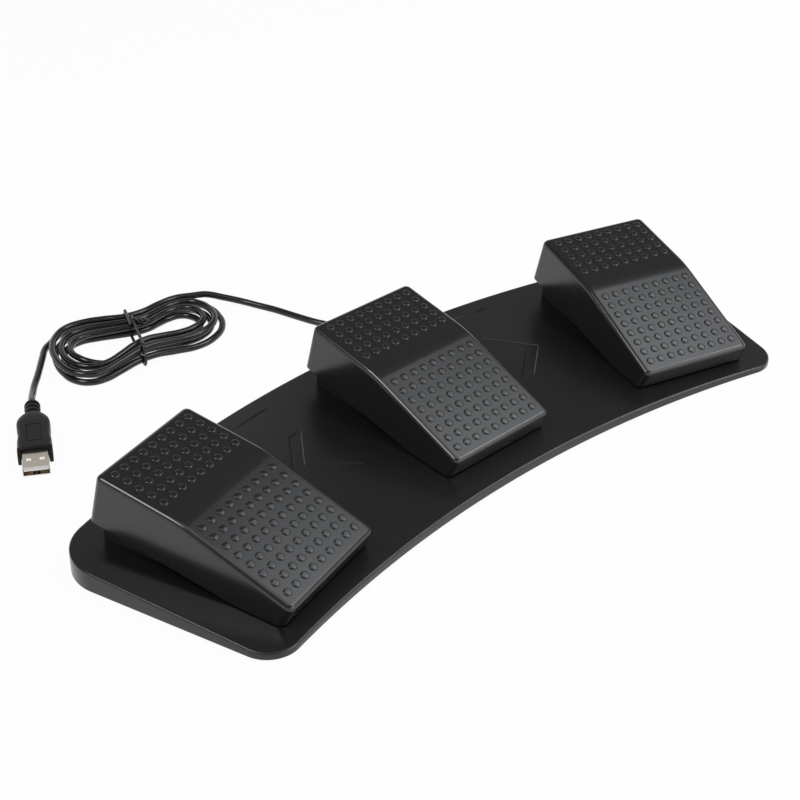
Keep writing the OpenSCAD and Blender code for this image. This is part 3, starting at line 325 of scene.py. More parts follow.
def round_edges(bm, edges, width, segments=3, clamp=True):
    bmesh.ops.bevel(bm, geom=edges, offset=width * MM, offset_type="OFFSET", segments=segments, profile=0.5,
                    affect="EDGES", clamp_overlap=clamp, material=-1)


def edges_of(verts):
    return list({e for v in verts for e in v.link_edges})


def sharp_edges(bm, degrees):
    limit = math.radians(degrees)
    return [e for e in bm.edges if len(e.link_faces) == 2 and e.calc_face_angle() > limit]


def spun(bm, profile, frame_matrix, steps=48):
    """Turns a closed profile of (along, out) points round the frame's x axis into a solid."""
    ring = [bm.verts.new((along * MM, 0, out * MM)) for along, out in profile]
    lines = [bm.edges.new(pair) for pair in zip(ring, ring[1:])]
    if profile[0][1] > 0:
        lines.append(bm.edges.new((ring[-1], ring[0])))
    bmesh.ops.spin(bm, geom=ring + lines, cent=(0, 0, 0), axis=(1, 0, 0), dvec=(0, 0, 0), angle=2 * math.pi,
                   steps=steps, use_merge=True, use_duplicate=False)
    close_shapes(bm)
    bmesh.ops.transform(bm, matrix=frame_matrix, verts=bm.verts[:])


def swept_line(name, runs, radius, finish, smoothness=5, sides=4):
    """A round tube along smooth lines, each through a run of points, in millimetres."""
    line = bpy.data.curves.new(name, "CURVE")
    line.dimensions = "3D"
    line.bevel_depth = radius * MM
    line.bevel_resolution = sides
    line.use_fill_caps = True
    line.resolution_u = smoothness
    for run in runs:
        spline = line.splines.new("BEZIER")
        spline.bezier_points.add(len(run) - 1)
        for knot, point in zip(spline.bezier_points, run):
            knot.co = Vector(point) * MM
            knot.handle_left_type = "AUTO"
            knot.handle_right_type = "AUTO"
    line.materials.append(finish)
    piece = bpy.data.objects.new(name, line)
    scene.collection.objects.link(piece)
    return piece


# Cord: its route from the strain relief through the tied hank to the plug, in millimetres
CORD_DIAMETER = 3.4
CORD_FLOOR = 1.79
RELIEF_LENGTH = 14
HANK_MIDDLE = Vector((-53.5, 160, 0))
HANK_OUTER = [
    (-2, 160), (-4.5, 177), (-23, 180.5), (-45, 173), (-58, 188.5), (-74, 196), (-90, 184),
    (-97.5, 168), (-101, 149), (-91, 139.5), (-71, 141.5), (-52, 142), (-33, 133), (-10, 140)]
HANK_INNER = [
    (-16, 160), (-21.5, 169.5), (-35, 167), (-45.5, 161.5), (-58, 169), (-71, 178.5), (-82, 176),
    (-87.5, 166.5), (-84.5, 155.5), (-74, 152), (-63, 155), (-50, 158), (-36, 152), (-21.5, 149.5)]
HANK_START = 24
HANK_IN_TURNS = 2.45
HANK_TOP = HANK_START + 360 * HANK_IN_TURNS
HANK_DROP = 60
HANK_FOOT = HANK_TOP + HANK_DROP
HANK_END = 1944
HANK_STEP = 15
HANK_RISE = 4
HANK_SLIDE = Vector((0.6, 0.6, 0))
HANK_WAISTS = (3.15, 10.5)
HANK_WAIST_REACH = 1.7
HANK_LIFT = 1.8
# The lead's points behind the base, and its climb on to the hank, from the hank's start
LEAD_POINTS = [
    (33.5, 92, 4.8), (31.5, 100, 2.9), (28.9, 108, 1.9), (26, 115, CORD_FLOOR), (23.6, 123, CORD_FLOOR),
    (21.4, 131.5, CORD_FLOOR), (19.2, 140, CORD_FLOOR), (16.2, 148.5, CORD_FLOOR)]
LEAD_CLIMB = [Vector((15, -15.7, -3.4)), Vector((8.6, -8.4, -1.5))]
# The tail's way off the hank, from the hank's end, and its points before the plug
TAIL_STEPS = [Vector((-7.2, -7, 0)), Vector((-12, -12.4, 0))]
TAIL_POINTS = [(-106.3, 167.8, CORD_FLOOR), (-112.3, 161.5, CORD_FLOOR), (-117.2, 155.4, CORD_FLOOR + 0.6)]
NECK_RUN = 8
NECK_SAG = Vector((0, 0, -0.8))
# Small shifts that ease the bends where the lead and the tail meet the hank
LEAD_EASE = Vector((-0.45, -0.46, 0))
TAIL_EASE = Vector((0.33, -0.61, 0))


def soft_step(share):
    return share * share * (3 - 2 * share)


def loop_point(points, place):
    """A point of the smooth closed loop that follows its control points."""
    first = math.floor(place)
    w = place - first
    weights = ((1 - w) ** 3, 3 * w ** 3 - 6 * w * w + 4, 1 + 3 * w + 3 * w * w - 3 * w ** 3, w ** 3)
    near = [Vector((*points[(first + step) % len(points)], 0)) for step in (-1, 0, 1, 2)]
    return sum((weight * point for weight, point in zip(weights, near)), Vector()) / 6


def waist_share(place):
    """How much of the lift over the tie applies at a place of the loop."""
    count = len(HANK_OUTER)
    away = min(abs((place - waist + 1.5 * count) % count - count / 2) for waist in HANK_WAISTS)
    return soft_step(max(0, 1 - away / HANK_WAIST_REACH))


def hank_point(degrees):
    """The hank's line at a winding angle: inward in the upper layer, then down, and outward in the lower one."""
    if degrees < HANK_TOP:
        share = (degrees - HANK_START) / 360 / HANK_IN_TURNS
    elif degrees < HANK_FOOT:
        share = 1
    else:
        share = 1 - (degrees - HANK_FOOT) / 360 / HANK_IN_TURNS
    place = degrees / 360 * len(HANK_OUTER)
    height = 1 - soft_step(min(1, max(0, (degrees - HANK_TOP) / HANK_DROP)))
    line = loop_point(HANK_OUTER, place) * (1 - share) + loop_point(HANK_INNER, place) * share
    lift = Vector((0, 0, CORD_FLOOR + HANK_RISE * height + HANK_LIFT * waist_share(place)))
    return line + HANK_SLIDE * height + lift


def cord_route():
    """The cord's points, from the strain relief's tip to the plug's neck."""
    loops = [hank_point(t) for t in range(HANK_START, HANK_END + 1, HANK_STEP)]
    entry = (loops[1] - loops[0]).normalized()
    leave = (loops[-1] - loops[-2]).normalized()
    outward = (OUTLET.to_3x3() @ Vector((0, 1, 0))).normalized()
    plug_way = (PLUG.to_3x3() @ Vector((1, 0, 0))).normalized()
    relief_tip = OUTLET.translation / MM + RELIEF_LENGTH * outward
    hank_in = loops[0] - CORD_DIAMETER * entry
    hank_out = loops[-1] + CORD_DIAMETER * leave
    neck = Vector(PLUG_NECK)
    lead = [relief_tip, relief_tip + CORD_DIAMETER * outward] + [Vector(p) for p in LEAD_POINTS]
    lead += [hank_in + step for step in LEAD_CLIMB]
    lead += [hank_in - CORD_DIAMETER * entry + LEAD_EASE, hank_in]
    tail = [hank_out, hank_out + CORD_DIAMETER * leave + TAIL_EASE]
    tail += [hank_out + step for step in TAIL_STEPS] + [Vector(p) for p in TAIL_POINTS]
    tail += [neck - NECK_RUN * plug_way + NECK_SAG, neck - CORD_DIAMETER * plug_way, neck]
    return lead + loops + tail


CORD_ROUTE = cord_route()
cord = swept_line("plug_cord", [CORD_ROUTE], CORD_DIAMETER / 2, CORD_BLACK)
seat(cord, "base", "cord_black", "cord_lead", "cord_hank", "cord_tail")


# Wire tie: a loop round both sides of the hank, in a frame whose x runs along the hank
TIE_TURN = -24.7
TIE_FRAME = moved(*HANK_MIDDLE) @ turned(TIE_TURN, "Z")
TIE_RADIUS = 0.8
TIE_SIDE = 0.96
TIE_FLOOR = 0.85
TIE_TOP = 10.2
TIE_REACH = 2.95
# The twisted ends: start and run along x and y, height above the tie's top, radius, and half turns to a step
TWIST_START = (1, 9)
TWIST_RUN = (3.4, -1.2)
TWIST_LIFT = 0.4
TWIST_RADIUS = 0.8
TWIST_RATE = 1.6
TWIST_HALF_TURN = 0.625


def tie_bend(y, z, first, last):
    """Points round a strand of the hank, from one angle down to another."""
    return [(y + TIE_REACH * math.cos(math.radians(a)), z + TIE_REACH * math.sin(math.radians(a)))
            for a in range(first, last - 1, -20)]


def twist_point(step, ahead):
    """A point of a twisted end; the other end is half a turn ahead."""
    angle = math.pi * (step + ahead) * TWIST_RATE
    return (TWIST_START[0] + TWIST_RUN[0] * step,
            TWIST_START[1] + TWIST_RUN[1] * step + TWIST_RADIUS * math.cos(angle),
            TIE_TOP + TWIST_LIFT + TWIST_RADIUS * math.sin(angle))


def add_hank_tie():
    """The wire tie round the hank, with its two ends twisted together on top."""
    low, high = CORD_FLOOR + HANK_LIFT, CORD_FLOOR + HANK_LIFT + HANK_RISE
    section = [(5, TIE_TOP), (12, TIE_TOP), (18.15, TIE_TOP)]
    section += tie_bend(19.15, high, 60, 0) + tie_bend(19.7, low, 0, -60)
    section += [(y, TIE_FLOOR) for y in (18, 12, 6, 0, -6, -12, -16.5)]
    section += tie_bend(-17.8, low, 240, 140) + tie_bend(-15.2, high, 180, 120)
    section += [(y, TIE_TOP) for y in (-14, -8, -2, 4, 9, 14)]
    last = len(section) - 1
    loop = [(TIE_SIDE * (2 * i / last - 1), y, z) for i, (y, z) in enumerate(section)]
    twist = [[twist_point(i / 12, ahead) for i in range(25)] for ahead in (0, TWIST_HALF_TURN)]
    runs = [[(TIE_FRAME @ (Vector(p) * MM)) / MM for p in run] for run in [loop] + twist]
    tie = swept_line("hank_wire_tie", runs, TIE_RADIUS, TIE_BLACK)
    return seat(tie, "base", "black_plastic", "hank_tie")


hank_tie = add_hank_tie()


# Plug: moulded body with a ribbed neck, the metal shell, and the white tongue inside the shell
# The neck's profile: place along the plug, and radius
NECK_PROFILE = [
    (0, 1.75), (0, 2.7), (0.3, 3.1), (0.6, 3.55), (1.2, 3.7), (1.9, 3.6), (2.2, 2.9), (3.1, 2.7), (3.4, 2.9),
    (3.7, 3.6), (4.4, 3.7), (5.1, 3.6), (5.4, 2.9), (6.3, 2.7), (6.6, 2.9), (6.9, 3.6), (7.6, 3.7),
    (8.3, 3.6), (8.6, 2.9), (10, 2.7), (10, 1.75)]
# Sections of the body along the plug: place, half width, half height, and how square the section is
BODY_SECTIONS = [
    (9.4, 2.6, 2.6, 2.2), (9.7, 3.3, 3.0, 2.3), (10.5, 4.2, 3.4, 2.6), (12, 5.4, 3.7, 3), (14, 6.5, 3.88, 3.6),
    (16, 7.2, 3.96, 4.2), (18.5, 7.55, 4, 5), (22, 7.5, 4, 5), (26, 7.25, 4, 5), (29, 7.15, 4, 5),
    (31, 7.35, 4, 5), (33, 7.6, 4, 5), (36, 7.7, 4, 5), (40.8, 7.8, 4, 5), (41.5, 7.72, 3.92, 5),
    (41.85, 7.5, 3.75, 5), (42, 7.2, 3.5, 5)]
BODY_SIDES = 64
# The two ears beside the shell
EAR_START = 40
EAR_END = 45
EAR_SIDES = (6.05, 7.75)
EAR_HALF = 3.7
EAR_TAPER = 0.8
EAR_ROUND = 0.55
# Boxes of the shell, of its seat in the body and of the tongue: low and high corners
SHELL_BOX = ((34, -6, -2.25), (55, 6, 2.25))
SHELL_SEAT = ((34, -6.05, -2.3), (43, 6.05, 2.3))
TONGUE_BOX = ((36, -5.5, 0.05), (54.85, 5.5, 1.85))
SHELL_ROUND = 0.6
SHELL_SHEET = 0.35
TONGUE_ROUND = 0.12
# The shell's square windows, and the tongue's pads that stand in them
WINDOW_SIDES = (-2.9, 2.9)
WINDOW_ENDS = (47.4, 49.8)
WINDOW_HALF = 1.2
PAD_GAP = 0.05
PAD_LEVELS = (1.0, 2.17)
# Grooves round the panel on the body's top: low and high corners
PANEL_GROOVES = [
    ((22.8, -3.3, 3.4), (35.6, -2.85, 5)), ((22.8, 3.0, 3.6), (35.6, 3.3, 5)),
    ((22.2, -3.2, 3.4), (22.7, 3.2, 5)), ((35.9, -3.2, 3.6), (36.2, 3.2, 5))]


def square_round(angle, power):
    """A point of a rounded square of half size 1; a higher power is squarer."""
    side, up = math.cos(angle), math.sin(angle)
    return math.copysign(abs(side) ** (2 / power), side), math.copysign(abs(up) ** (2 / power), up)


def add_body_sections(bm):
    start = BODY_SECTIONS[0][0]
    made = bmesh.ops.create_circle(bm, cap_ends=True, segments=BODY_SIDES, radius=MM,
                                   matrix=moved(start, 0, 0) @ turned(90, "Z") @ turned(90, "X"))
    ring = made["verts"]
    end = list({f for v in ring for f in v.link_faces})
    rings = [ring]
    for section in BODY_SECTIONS[1:]:
        grown = bmesh.ops.extrude_face_region(bm, geom=end)
        ring = verts_in(grown["geom"])
        end = [g for g in grown["geom"] if isinstance(g, bmesh.types.BMFace)]
        for v in ring:
            v.co.x = section[0] * MM
        rings.append(ring)
    for ring, (place, half, up, power) in zip(rings, BODY_SECTIONS):
        for v in ring:
            y, z = square_round(math.atan2(v.co.z, v.co.y), power)
            v.co = Vector((place, half * y, up * z)) * MM


def add_plug_body():
    bm = bmesh.new()
    spun(bm, NECK_PROFILE, Matrix.Identity(4))
    add_body_sections(bm)
    face_outward(bm)
    for side in (-1, 1):
        low, high = sorted(side * reach for reach in EAR_SIDES)
        ear = add_block(bm, (EAR_START, low, -EAR_HALF), (EAR_END, high, EAR_HALF), Matrix.Identity(4))
        for v in ear:
            if v.co.x > (EAR_END - 1) * MM:
                v.co.z *= EAR_TAPER
        round_edges(bm, edges_of(ear), EAR_ROUND)
    bmesh.ops.transform(bm, matrix=PLUG, verts=bm.verts[:])
    body = add_piece("plug_body", bm, PLUG_BLACK)
    cutter = bmesh.new()
    add_block(cutter, *SHELL_SEAT, PLUG)
    for low, high in PANEL_GROOVES:
        add_block(cutter, low, high, PLUG)
    cut_away(body, add_piece("plug_cutter", cutter, PLUG_BLACK))
    shade(body, 32)
    return seat(body, "base", "cord_black", "plug_overmould")


def add_plug_shell():
    bm = bmesh.new()
    add_block(bm, *SHELL_BOX, Matrix.Identity(4))
    ends = [f for f in bm.faces if abs(f.normal.x) > 0.9]
    bmesh.ops.delete(bm, geom=ends, context="FACES_ONLY")
    long_edges = [e for e in bm.edges if abs(e.verts[0].co.x - e.verts[1].co.x) > MM]
    round_edges(bm, long_edges, SHELL_ROUND, 4)
    face_outward(bm)
    middle = (Vector(SHELL_BOX[0]) + Vector(SHELL_BOX[1])) / 2 * MM
    if sum((f.calc_center_median() - middle).dot(f.normal) for f in bm.faces) < 0:
        bmesh.ops.reverse_faces(bm, faces=bm.faces[:])
    bmesh.ops.transform(bm, matrix=PLUG, verts=bm.verts[:])
    shell = add_piece("plug_metal_shell", bm, SHELL_NICKEL)
    wall = shell.modifiers.new("sheet", "SOLIDIFY")
    wall.thickness = SHELL_SHEET * MM
    wall.offset = -1
    cutter = bmesh.new()
    for side in WINDOW_SIDES:
        add_block(cutter, (WINDOW_ENDS[0], side - WINDOW_HALF, -4),
                  (WINDOW_ENDS[1], side + WINDOW_HALF, 4), PLUG)
    cut_away(shell, add_piece("window_cutter", cutter, SHELL_NICKEL))
    shade(shell)
    return seat(shell, "base", "shell_nickel", "plug_shell")


def add_plug_tongue():
    """The white insulator under the shell's top, with pads that stand in the windows."""
    bm = bmesh.new()
    tongue = add_block(bm, *TONGUE_BOX, PLUG)
    round_edges(bm, edges_of(tongue), TONGUE_ROUND, 2)
    half = WINDOW_HALF - PAD_GAP
    for side in WINDOW_SIDES:
        pad = add_block(bm, (WINDOW_ENDS[0] + PAD_GAP, side - half, PAD_LEVELS[0]),
                        (WINDOW_ENDS[1] - PAD_GAP, side + half, PAD_LEVELS[1]), PLUG)
        round_edges(bm, edges_of(pad), TONGUE_ROUND, 2)
    tongue_piece = add_piece("plug_tongue_block", bm, TONGUE_WHITE)
    shade(tongue_piece)
    return seat(tongue_piece, "base", "header_white", "plug_tongue")


plug_body = add_plug_body()
plug_shell = add_plug_shell()
plug_tongue = add_plug_tongue()


# Base: the crescent shell with its rounded rim, its hollow, and the slots and marks moulded into the deck
REAR_STEPS = 144
FRONT_STEPS = 132
REAR_ROUND_STEPS = 28
FRONT_ROUND_STEPS = 24
RIM_ROUND = 0.9
FOOT_EDGE_ROUND = 0.35
CUT_HEADROOM = 0.6
CUT_DEPTH = 0.4
SLOT_HALF = 13.5
SLOT_RADIUS = 0.8
SLOT_BACK = 9.5
SLOT_SLOPE = 0.25
MARK_ARM = 26
MARK_WIDTH = 6
MARK_TILT = 45
MARK_BACK = 54
MARK_SLOPE = 0.45
HOLE_RADIUS, HOLE_LENGTH, HOLE_START = 3.45, 6, -4
FOOT_SEAT_RADIUS, FOOT_SEAT_HEIGHT, FOOT_SEAT_START = 7.1, 1.4, 0.2
BOSS_RADIUS = 3.2
BOSS_SINK = 1.6
# The stand under each micro switch, in the pedal's frame: low and high corners
SWITCH_STAND = ((-6.4, -53.42, -0.5), (6.4, -47.02, 3))


def carry_round(bm, tip, centre, degrees, steps):
    """Carries the outline's tip round a centre, and gives back the new tip."""
    swept = bmesh.ops.spin(bm, geom=[tip], cent=(centre[0] * MM, centre[1] * MM, 0), axis=(0, 0, 1),
                           dvec=(0, 0, 0), angle=math.radians(degrees), steps=steps, use_merge=False,
                           use_duplicate=False)
    return verts_in(swept["geom_last"])[0]


def base_outline(bm, inset):
    """The base's plan as one flat face, moved in by inset."""
    rear_centre = (0, REAR_Y - REAR_RADIUS)
    front_centre = (0, REAR_Y - MID_DEPTH - FRONT_RADIUS)
    rear_angle = math.degrees(math.atan2(REAR_CORNER[1] - rear_centre[1], REAR_CORNER[0]))
    front_angle = math.degrees(math.atan2(FRONT_CORNER[1] - front_centre[1], FRONT_CORNER[0]))
    reach = REAR_RADIUS - inset
    start = Vector((reach * math.cos(math.radians(rear_angle)), 0, 0))
    start.y = rear_centre[1] + reach * math.sin(math.radians(rear_angle))
    side_way = math.radians(PEDAL_FAN)

    def beside(corner, round_size, hand):
        return bm.verts.new((
            hand * (corner[0] + (round_size - inset) * math.cos(side_way)) * MM,
            (corner[1] - (round_size - inset) * math.sin(side_way)) * MM, 0))

    def line_to(tip, corner, round_size, hand):
        new_tip = beside(corner, round_size, hand)
        bm.edges.new((tip, new_tip))
        return new_tip

    rear_left, front_left = (-REAR_CORNER[0], REAR_CORNER[1]), (-FRONT_CORNER[0], FRONT_CORNER[1])
    rear_sweep = rear_angle + PEDAL_FAN
    front_sweep = 180 - front_angle - PEDAL_FAN
    tip = bm.verts.new(start * MM)
    tip = carry_round(bm, tip, rear_centre, 180 - 2 * rear_angle, REAR_STEPS)
    tip = carry_round(bm, tip, rear_left, rear_sweep, REAR_ROUND_STEPS)
    tip = line_to(tip, FRONT_CORNER, FRONT_ROUND, -1)
    tip = carry_round(bm, tip, front_left, front_sweep, FRONT_ROUND_STEPS)
    tip = carry_round(bm, tip, front_centre, 2 * front_angle - 180, FRONT_STEPS)
    tip = carry_round(bm, tip, FRONT_CORNER, front_sweep, FRONT_ROUND_STEPS)
    tip = line_to(tip, REAR_CORNER, REAR_ROUND, 1)
    carry_round(bm, tip, REAR_CORNER, rear_sweep, REAR_ROUND_STEPS)
    bmesh.ops.remove_doubles(bm, verts=bm.verts[:], dist=0.05 * MM)
    bmesh.ops.edgeloop_fill(bm, edges=bm.edges[:])


def raise_to_deck(bm, foot, sunk):
    """Makes a flat plan a wedge from a level up to the deck, or to a depth under the deck."""
    bmesh.ops.translate(bm, verts=bm.verts[:], vec=(0, 0, foot * MM))
    grown = bmesh.ops.extrude_face_region(bm, geom=bm.faces[:])
    slope = math.radians(DECK_SLOPE)
    top = verts_in(grown["geom"])
    for v in top:
        v.co.z = (REAR_HEIGHT - sunk / math.cos(slope)) * MM + (v.co.y - REAR_Y * MM) * math.tan(slope)
    face_outward(bm)


def rear_edge(x):
    return REAR_Y - REAR_RADIUS + math.sqrt(REAR_RADIUS ** 2 - x * x)


def sink_plan(bm, outline, plan_frame, depth, slope):
    """A cutter for a shallow recess with sloping walls, from its outline on the deck."""
    corners = [bm.verts.new(plan_frame @ Vector((x * MM, y * MM, 0))) for x, y in outline]
    plan = bm.faces.new(corners)
    upright = (DECK.to_3x3() @ Vector((0, 0, 1))).normalized()
    grown = bmesh.ops.extrude_face_region(bm, geom=[plan])
    top = verts_in(grown["geom"])
    bmesh.ops.translate(bm, verts=top, vec=upright * CUT_HEADROOM * MM)
    shell = list({f for v in corners + top for f in v.link_faces})
    bmesh.ops.recalc_face_normals(bm, faces=shell)
    floor = [f for f in shell if f.normal.dot(upright) < -0.9]
    bmesh.ops.inset_region(bm, faces=floor, thickness=slope * MM, depth=depth * MM, use_boundary=True,
                           use_even_offset=True)


def add_deck_cuts(bm):
    """Slots near the rear edge, and plain chevrons that point outward, sunk into the deck."""
    middle = PEDAL_SPACING / 2
    slot_y = rear_edge(middle) - REAR_Y - SLOT_BACK
    slot_turn = -math.degrees(math.asin(middle / REAR_RADIUS))
    rounds = [math.radians(a) for a in range(-90, 91, 30)]
    slot = [(SLOT_HALF + SLOT_RADIUS * math.cos(a), SLOT_RADIUS * math.sin(a)) for a in rounds]
    slot += [(-x, -y) for x, y in slot]
    half = MARK_ARM * math.sin(math.radians(MARK_TILT))
    across = MARK_WIDTH / math.sin(math.radians(MARK_TILT))
    mark = [(-half / 2, half), (half / 2, 0), (-half / 2, -half), (-half / 2 - across, -half),
            (half / 2 - across, 0), (-half / 2 - across, half)]
    for hand in (-1, 1):
        flip = Matrix.Diagonal((hand, 1, 1, 1))
        slot_frame = DECK @ flip @ moved(middle, slot_y, 0) @ turned(slot_turn, "Z")
        sink_plan(bm, slot, slot_frame, CUT_DEPTH, SLOT_SLOPE)
        mark_frame = DECK @ flip @ moved(middle, -MARK_BACK, 0) @ turned(-PEDAL_FAN / 2, "Z")
        sink_plan(bm, mark, mark_frame, CUT_DEPTH, MARK_SLOPE)


def cover_spots():
    """Places of the bosses for the cover's screws."""
    spots = [
        (18, rear_edge(18) - 9), (102.9, rear_edge(102.9) - 13), (REAR_CORNER[0] + 6, REAR_CORNER[1] - 18),
        (FRONT_CORNER[0] + 5, FRONT_CORNER[1] + 36), (62.45, CAVITY_FRONT + 27)]
    return [(hand * x, y) for hand in (-1, 1) for x, y in spots]


def add_base_shell():
    bm = bmesh.new()
    base_outline(bm, 0)
    raise_to_deck(bm, BASE_FOOT, 0)
    rim = [e for e in sharp_edges(bm, 40) if max(f.normal.z for f in e.link_faces) > 0.9]
    foot = [e for e in sharp_edges(bm, 40) if min(f.normal.z for f in e.link_faces) < -0.9]
    round_edges(bm, rim, RIM_ROUND, 4)
    round_edges(bm, [e for e in foot if e.is_valid], FOOT_EDGE_ROUND, 2)
    shell = add_piece("base_shell", bm, DECK_BLACK)
    cutter = bmesh.new()
    base_outline(cutter, SIDE_WALL)
    bmesh.ops.bisect_plane(cutter, geom=cutter.verts[:] + cutter.edges[:] + cutter.faces[:], dist=0.001 * MM,
                           plane_co=(0, CAVITY_FRONT * MM, 0), plane_no=(0, -1, 0), clear_outer=True)
    raise_to_deck(cutter, 0, DECK_THICKNESS)
    add_deck_cuts(cutter)
    add_rod(cutter, HOLE_RADIUS, HOLE_LENGTH, OUTLET @ moved(0, HOLE_START, 0) @ turned(-90, "X"))
    for hand in (-1, 1):
        foot_seat = moved(hand * FRONT_CORNER[0], FRONT_CORNER[1], FOOT_SEAT_START)
        add_rod(cutter, FOOT_SEAT_RADIUS, FOOT_SEAT_HEIGHT, foot_seat)
    face_outward(cutter)
    cut_away(shell, add_piece("base_cutter", cutter, DECK_BLACK))
    inner = bmesh.new()
    inner.from_mesh(shell.data)
    for x, y in cover_spots():
        top = REAR_HEIGHT - BOSS_SINK + (y - REAR_Y) * math.tan(math.radians(DECK_SLOPE))
        add_rod(inner, BOSS_RADIUS, top - COVER_TOP, moved(x, y, COVER_TOP))
    for frame_matrix in PEDAL_SEAT.values():
        add_block(inner, *SWITCH_STAND, frame_matrix)
    inner.to_mesh(shell.data)
    inner.free()
    shade(shell)
    seat(shell, "base", "black_plastic", "base_top_shell")


add_base_shell()


# Pedals, in the pedal's own frame: x across, y from the rear top edge, z square to the deck
PEDAL_PROFILE = [(3.3, 10.6), (0, 33.2), (-40.163, 27.984), (-94.216, 10.212), (-90.716, 0.7), (-67.716, 0.7)]
TOP_HALF = 30
FOOT_HALF = 31.2
PEDAL_WALL = 1.9
EDGE_ROUND = 2.2
CORNER_ROUND = 3
BEND_SPREAD = 4.5
UPPER_SLOPE = 7.4
LOWER_SLOPE = 18.2
PIVOT = (-67.716, 6)
SWITCH_Y = -50.216
SPRING_Y = -14
SPRING_FOOT = 14.15
SPRING_RADIUS = 4.2
SPRING_WIRE = 0.5
SPRING_STEPS = 30
# Turns and climb of the spring's closed foot, open middle and closed top
SPRING_RUNS = ((0.8, 0.85), (2.4, 9.15), (0.8, 0.85))
# Bumps: outline of one, as (radius, height), and their rows
BUMP_PROFILE = [(1.95, -0.1), (1.9, 0.22), (1.72, 0.47), (1.42, 0.58), (1.18, 0.6), (0, 0.6)]
BUMP_SIDES = 12
BUMP_PITCH = 6
BUMP_COLUMNS = 9
UPPER_ROWS, UPPER_MARGIN = 5, 5.7
LOWER_ROWS, LOWER_MARGIN = 8, 8.2
# Inside a pedal: the ears round its pin, as (along, out), the stub that its spring bears on, and its pusher
PIVOT_EAR = [(23.4, 2.06), (23.4, 3.75), (23.7, 4.05), (28.6, 4.05), (28.6, 2.06)]
STUB_RADIUS, STUB_LENGTH, STUB_FOOT = 5.2, 4.0, 26.16
PUSHER_RADIUS, PUSHER_LENGTH, PUSHER_FOOT = 2.5, 8.0, 15.8


def bump_dome():
    """One low dome of the tread, standing on z = 0."""
    bm = bmesh.new()
    line = [bm.verts.new((out * MM, 0, up * MM)) for out, up in BUMP_PROFILE]
    edges = [bm.edges.new(pair) for pair in zip(line, line[1:])]
    bmesh.ops.spin(bm, geom=line + edges, cent=(0, 0, 0), axis=(0, 0, 1), dvec=(0, 0, 0), angle=2 * math.pi,
                   steps=BUMP_SIDES, use_merge=True, use_duplicate=False)
    close_shapes(bm)
    if bm.faces[0].normal.dot(bm.faces[0].calc_center_median()) < 0:
        bmesh.ops.reverse_faces(bm, faces=bm.faces[:])
    for face in bm.faces:
        face.material_index = 1
    mesh = bpy.data.meshes.new("bump_dome")
    bm.to_mesh(mesh)
    bm.free()
    return mesh


def add_tread(bm, dome):
    """Rows of domes on both facets, the first a margin below the facet's upper edge."""
    upper = moved(0, *PEDAL_PROFILE[1]) @ turned(UPPER_SLOPE, "X")
    lower = moved(0, *PEDAL_PROFILE[2]) @ turned(LOWER_SLOPE, "X")
    middle = (BUMP_COLUMNS - 1) / 2
    for facet, rows, margin in ((upper, UPPER_ROWS, UPPER_MARGIN), (lower, LOWER_ROWS, LOWER_MARGIN)):
        for row in range(rows):
            for column in range(BUMP_COLUMNS):
                before = len(bm.verts)
                bm.from_mesh(dome)
                bm.verts.ensure_lookup_table()
                spot = facet @ moved((column - middle) * BUMP_PITCH, -margin - row * BUMP_PITCH, 0)
                bmesh.ops.transform(bm, matrix=spot, verts=bm.verts[before:])


def pedal_wedge():
    """The outer skin of a pedal, open below."""
    bm = bmesh.new()
    profile = [bm.verts.new((-TOP_HALF * MM, y * MM, z * MM)) for y, z in PEDAL_PROFILE]
    flank = bm.faces.new(profile)
    grown = bmesh.ops.extrude_face_region(bm, geom=[flank])
    far = verts_in(grown["geom"])
    bmesh.ops.translate(bm, verts=far, vec=(2 * TOP_HALF * MM, 0, 0))
    feet = {(round(y, 2), round(z, 2)) for y, z in (PEDAL_PROFILE[0], PEDAL_PROFILE[4], PEDAL_PROFILE[5])}
    for v in bm.verts:
        if (round(v.co.y / MM, 2), round(v.co.z / MM, 2)) in feet:
            v.co.x *= FOOT_HALF / TOP_HALF
    face_outward(bm)
    below = [f for f in bm.faces if f.normal.z < -0.7]
    bmesh.ops.delete(bm, geom=below, context="FACES_ONLY")
    loose = [e for e in bm.edges if not e.link_faces]
    bmesh.ops.delete(bm, geom=loose, context="EDGES")
    bend = [e for e in bm.edges
            if all(abs(v.co.y - PEDAL_PROFILE[2][0] * MM) < 0.01 * MM and v.co.z > 20 * MM for v in e.verts)]
    round_edges(bm, bend, BEND_SPREAD, 8)
    corners = [e for e in sharp_edges(bm, 60) if all(abs(f.normal.z) < 0.5 for f in e.link_faces)]
    round_edges(bm, corners, CORNER_ROUND, 6)
    round_edges(bm, sharp_edges(bm, 35), EDGE_ROUND, 6, clamp=False)
    return bm


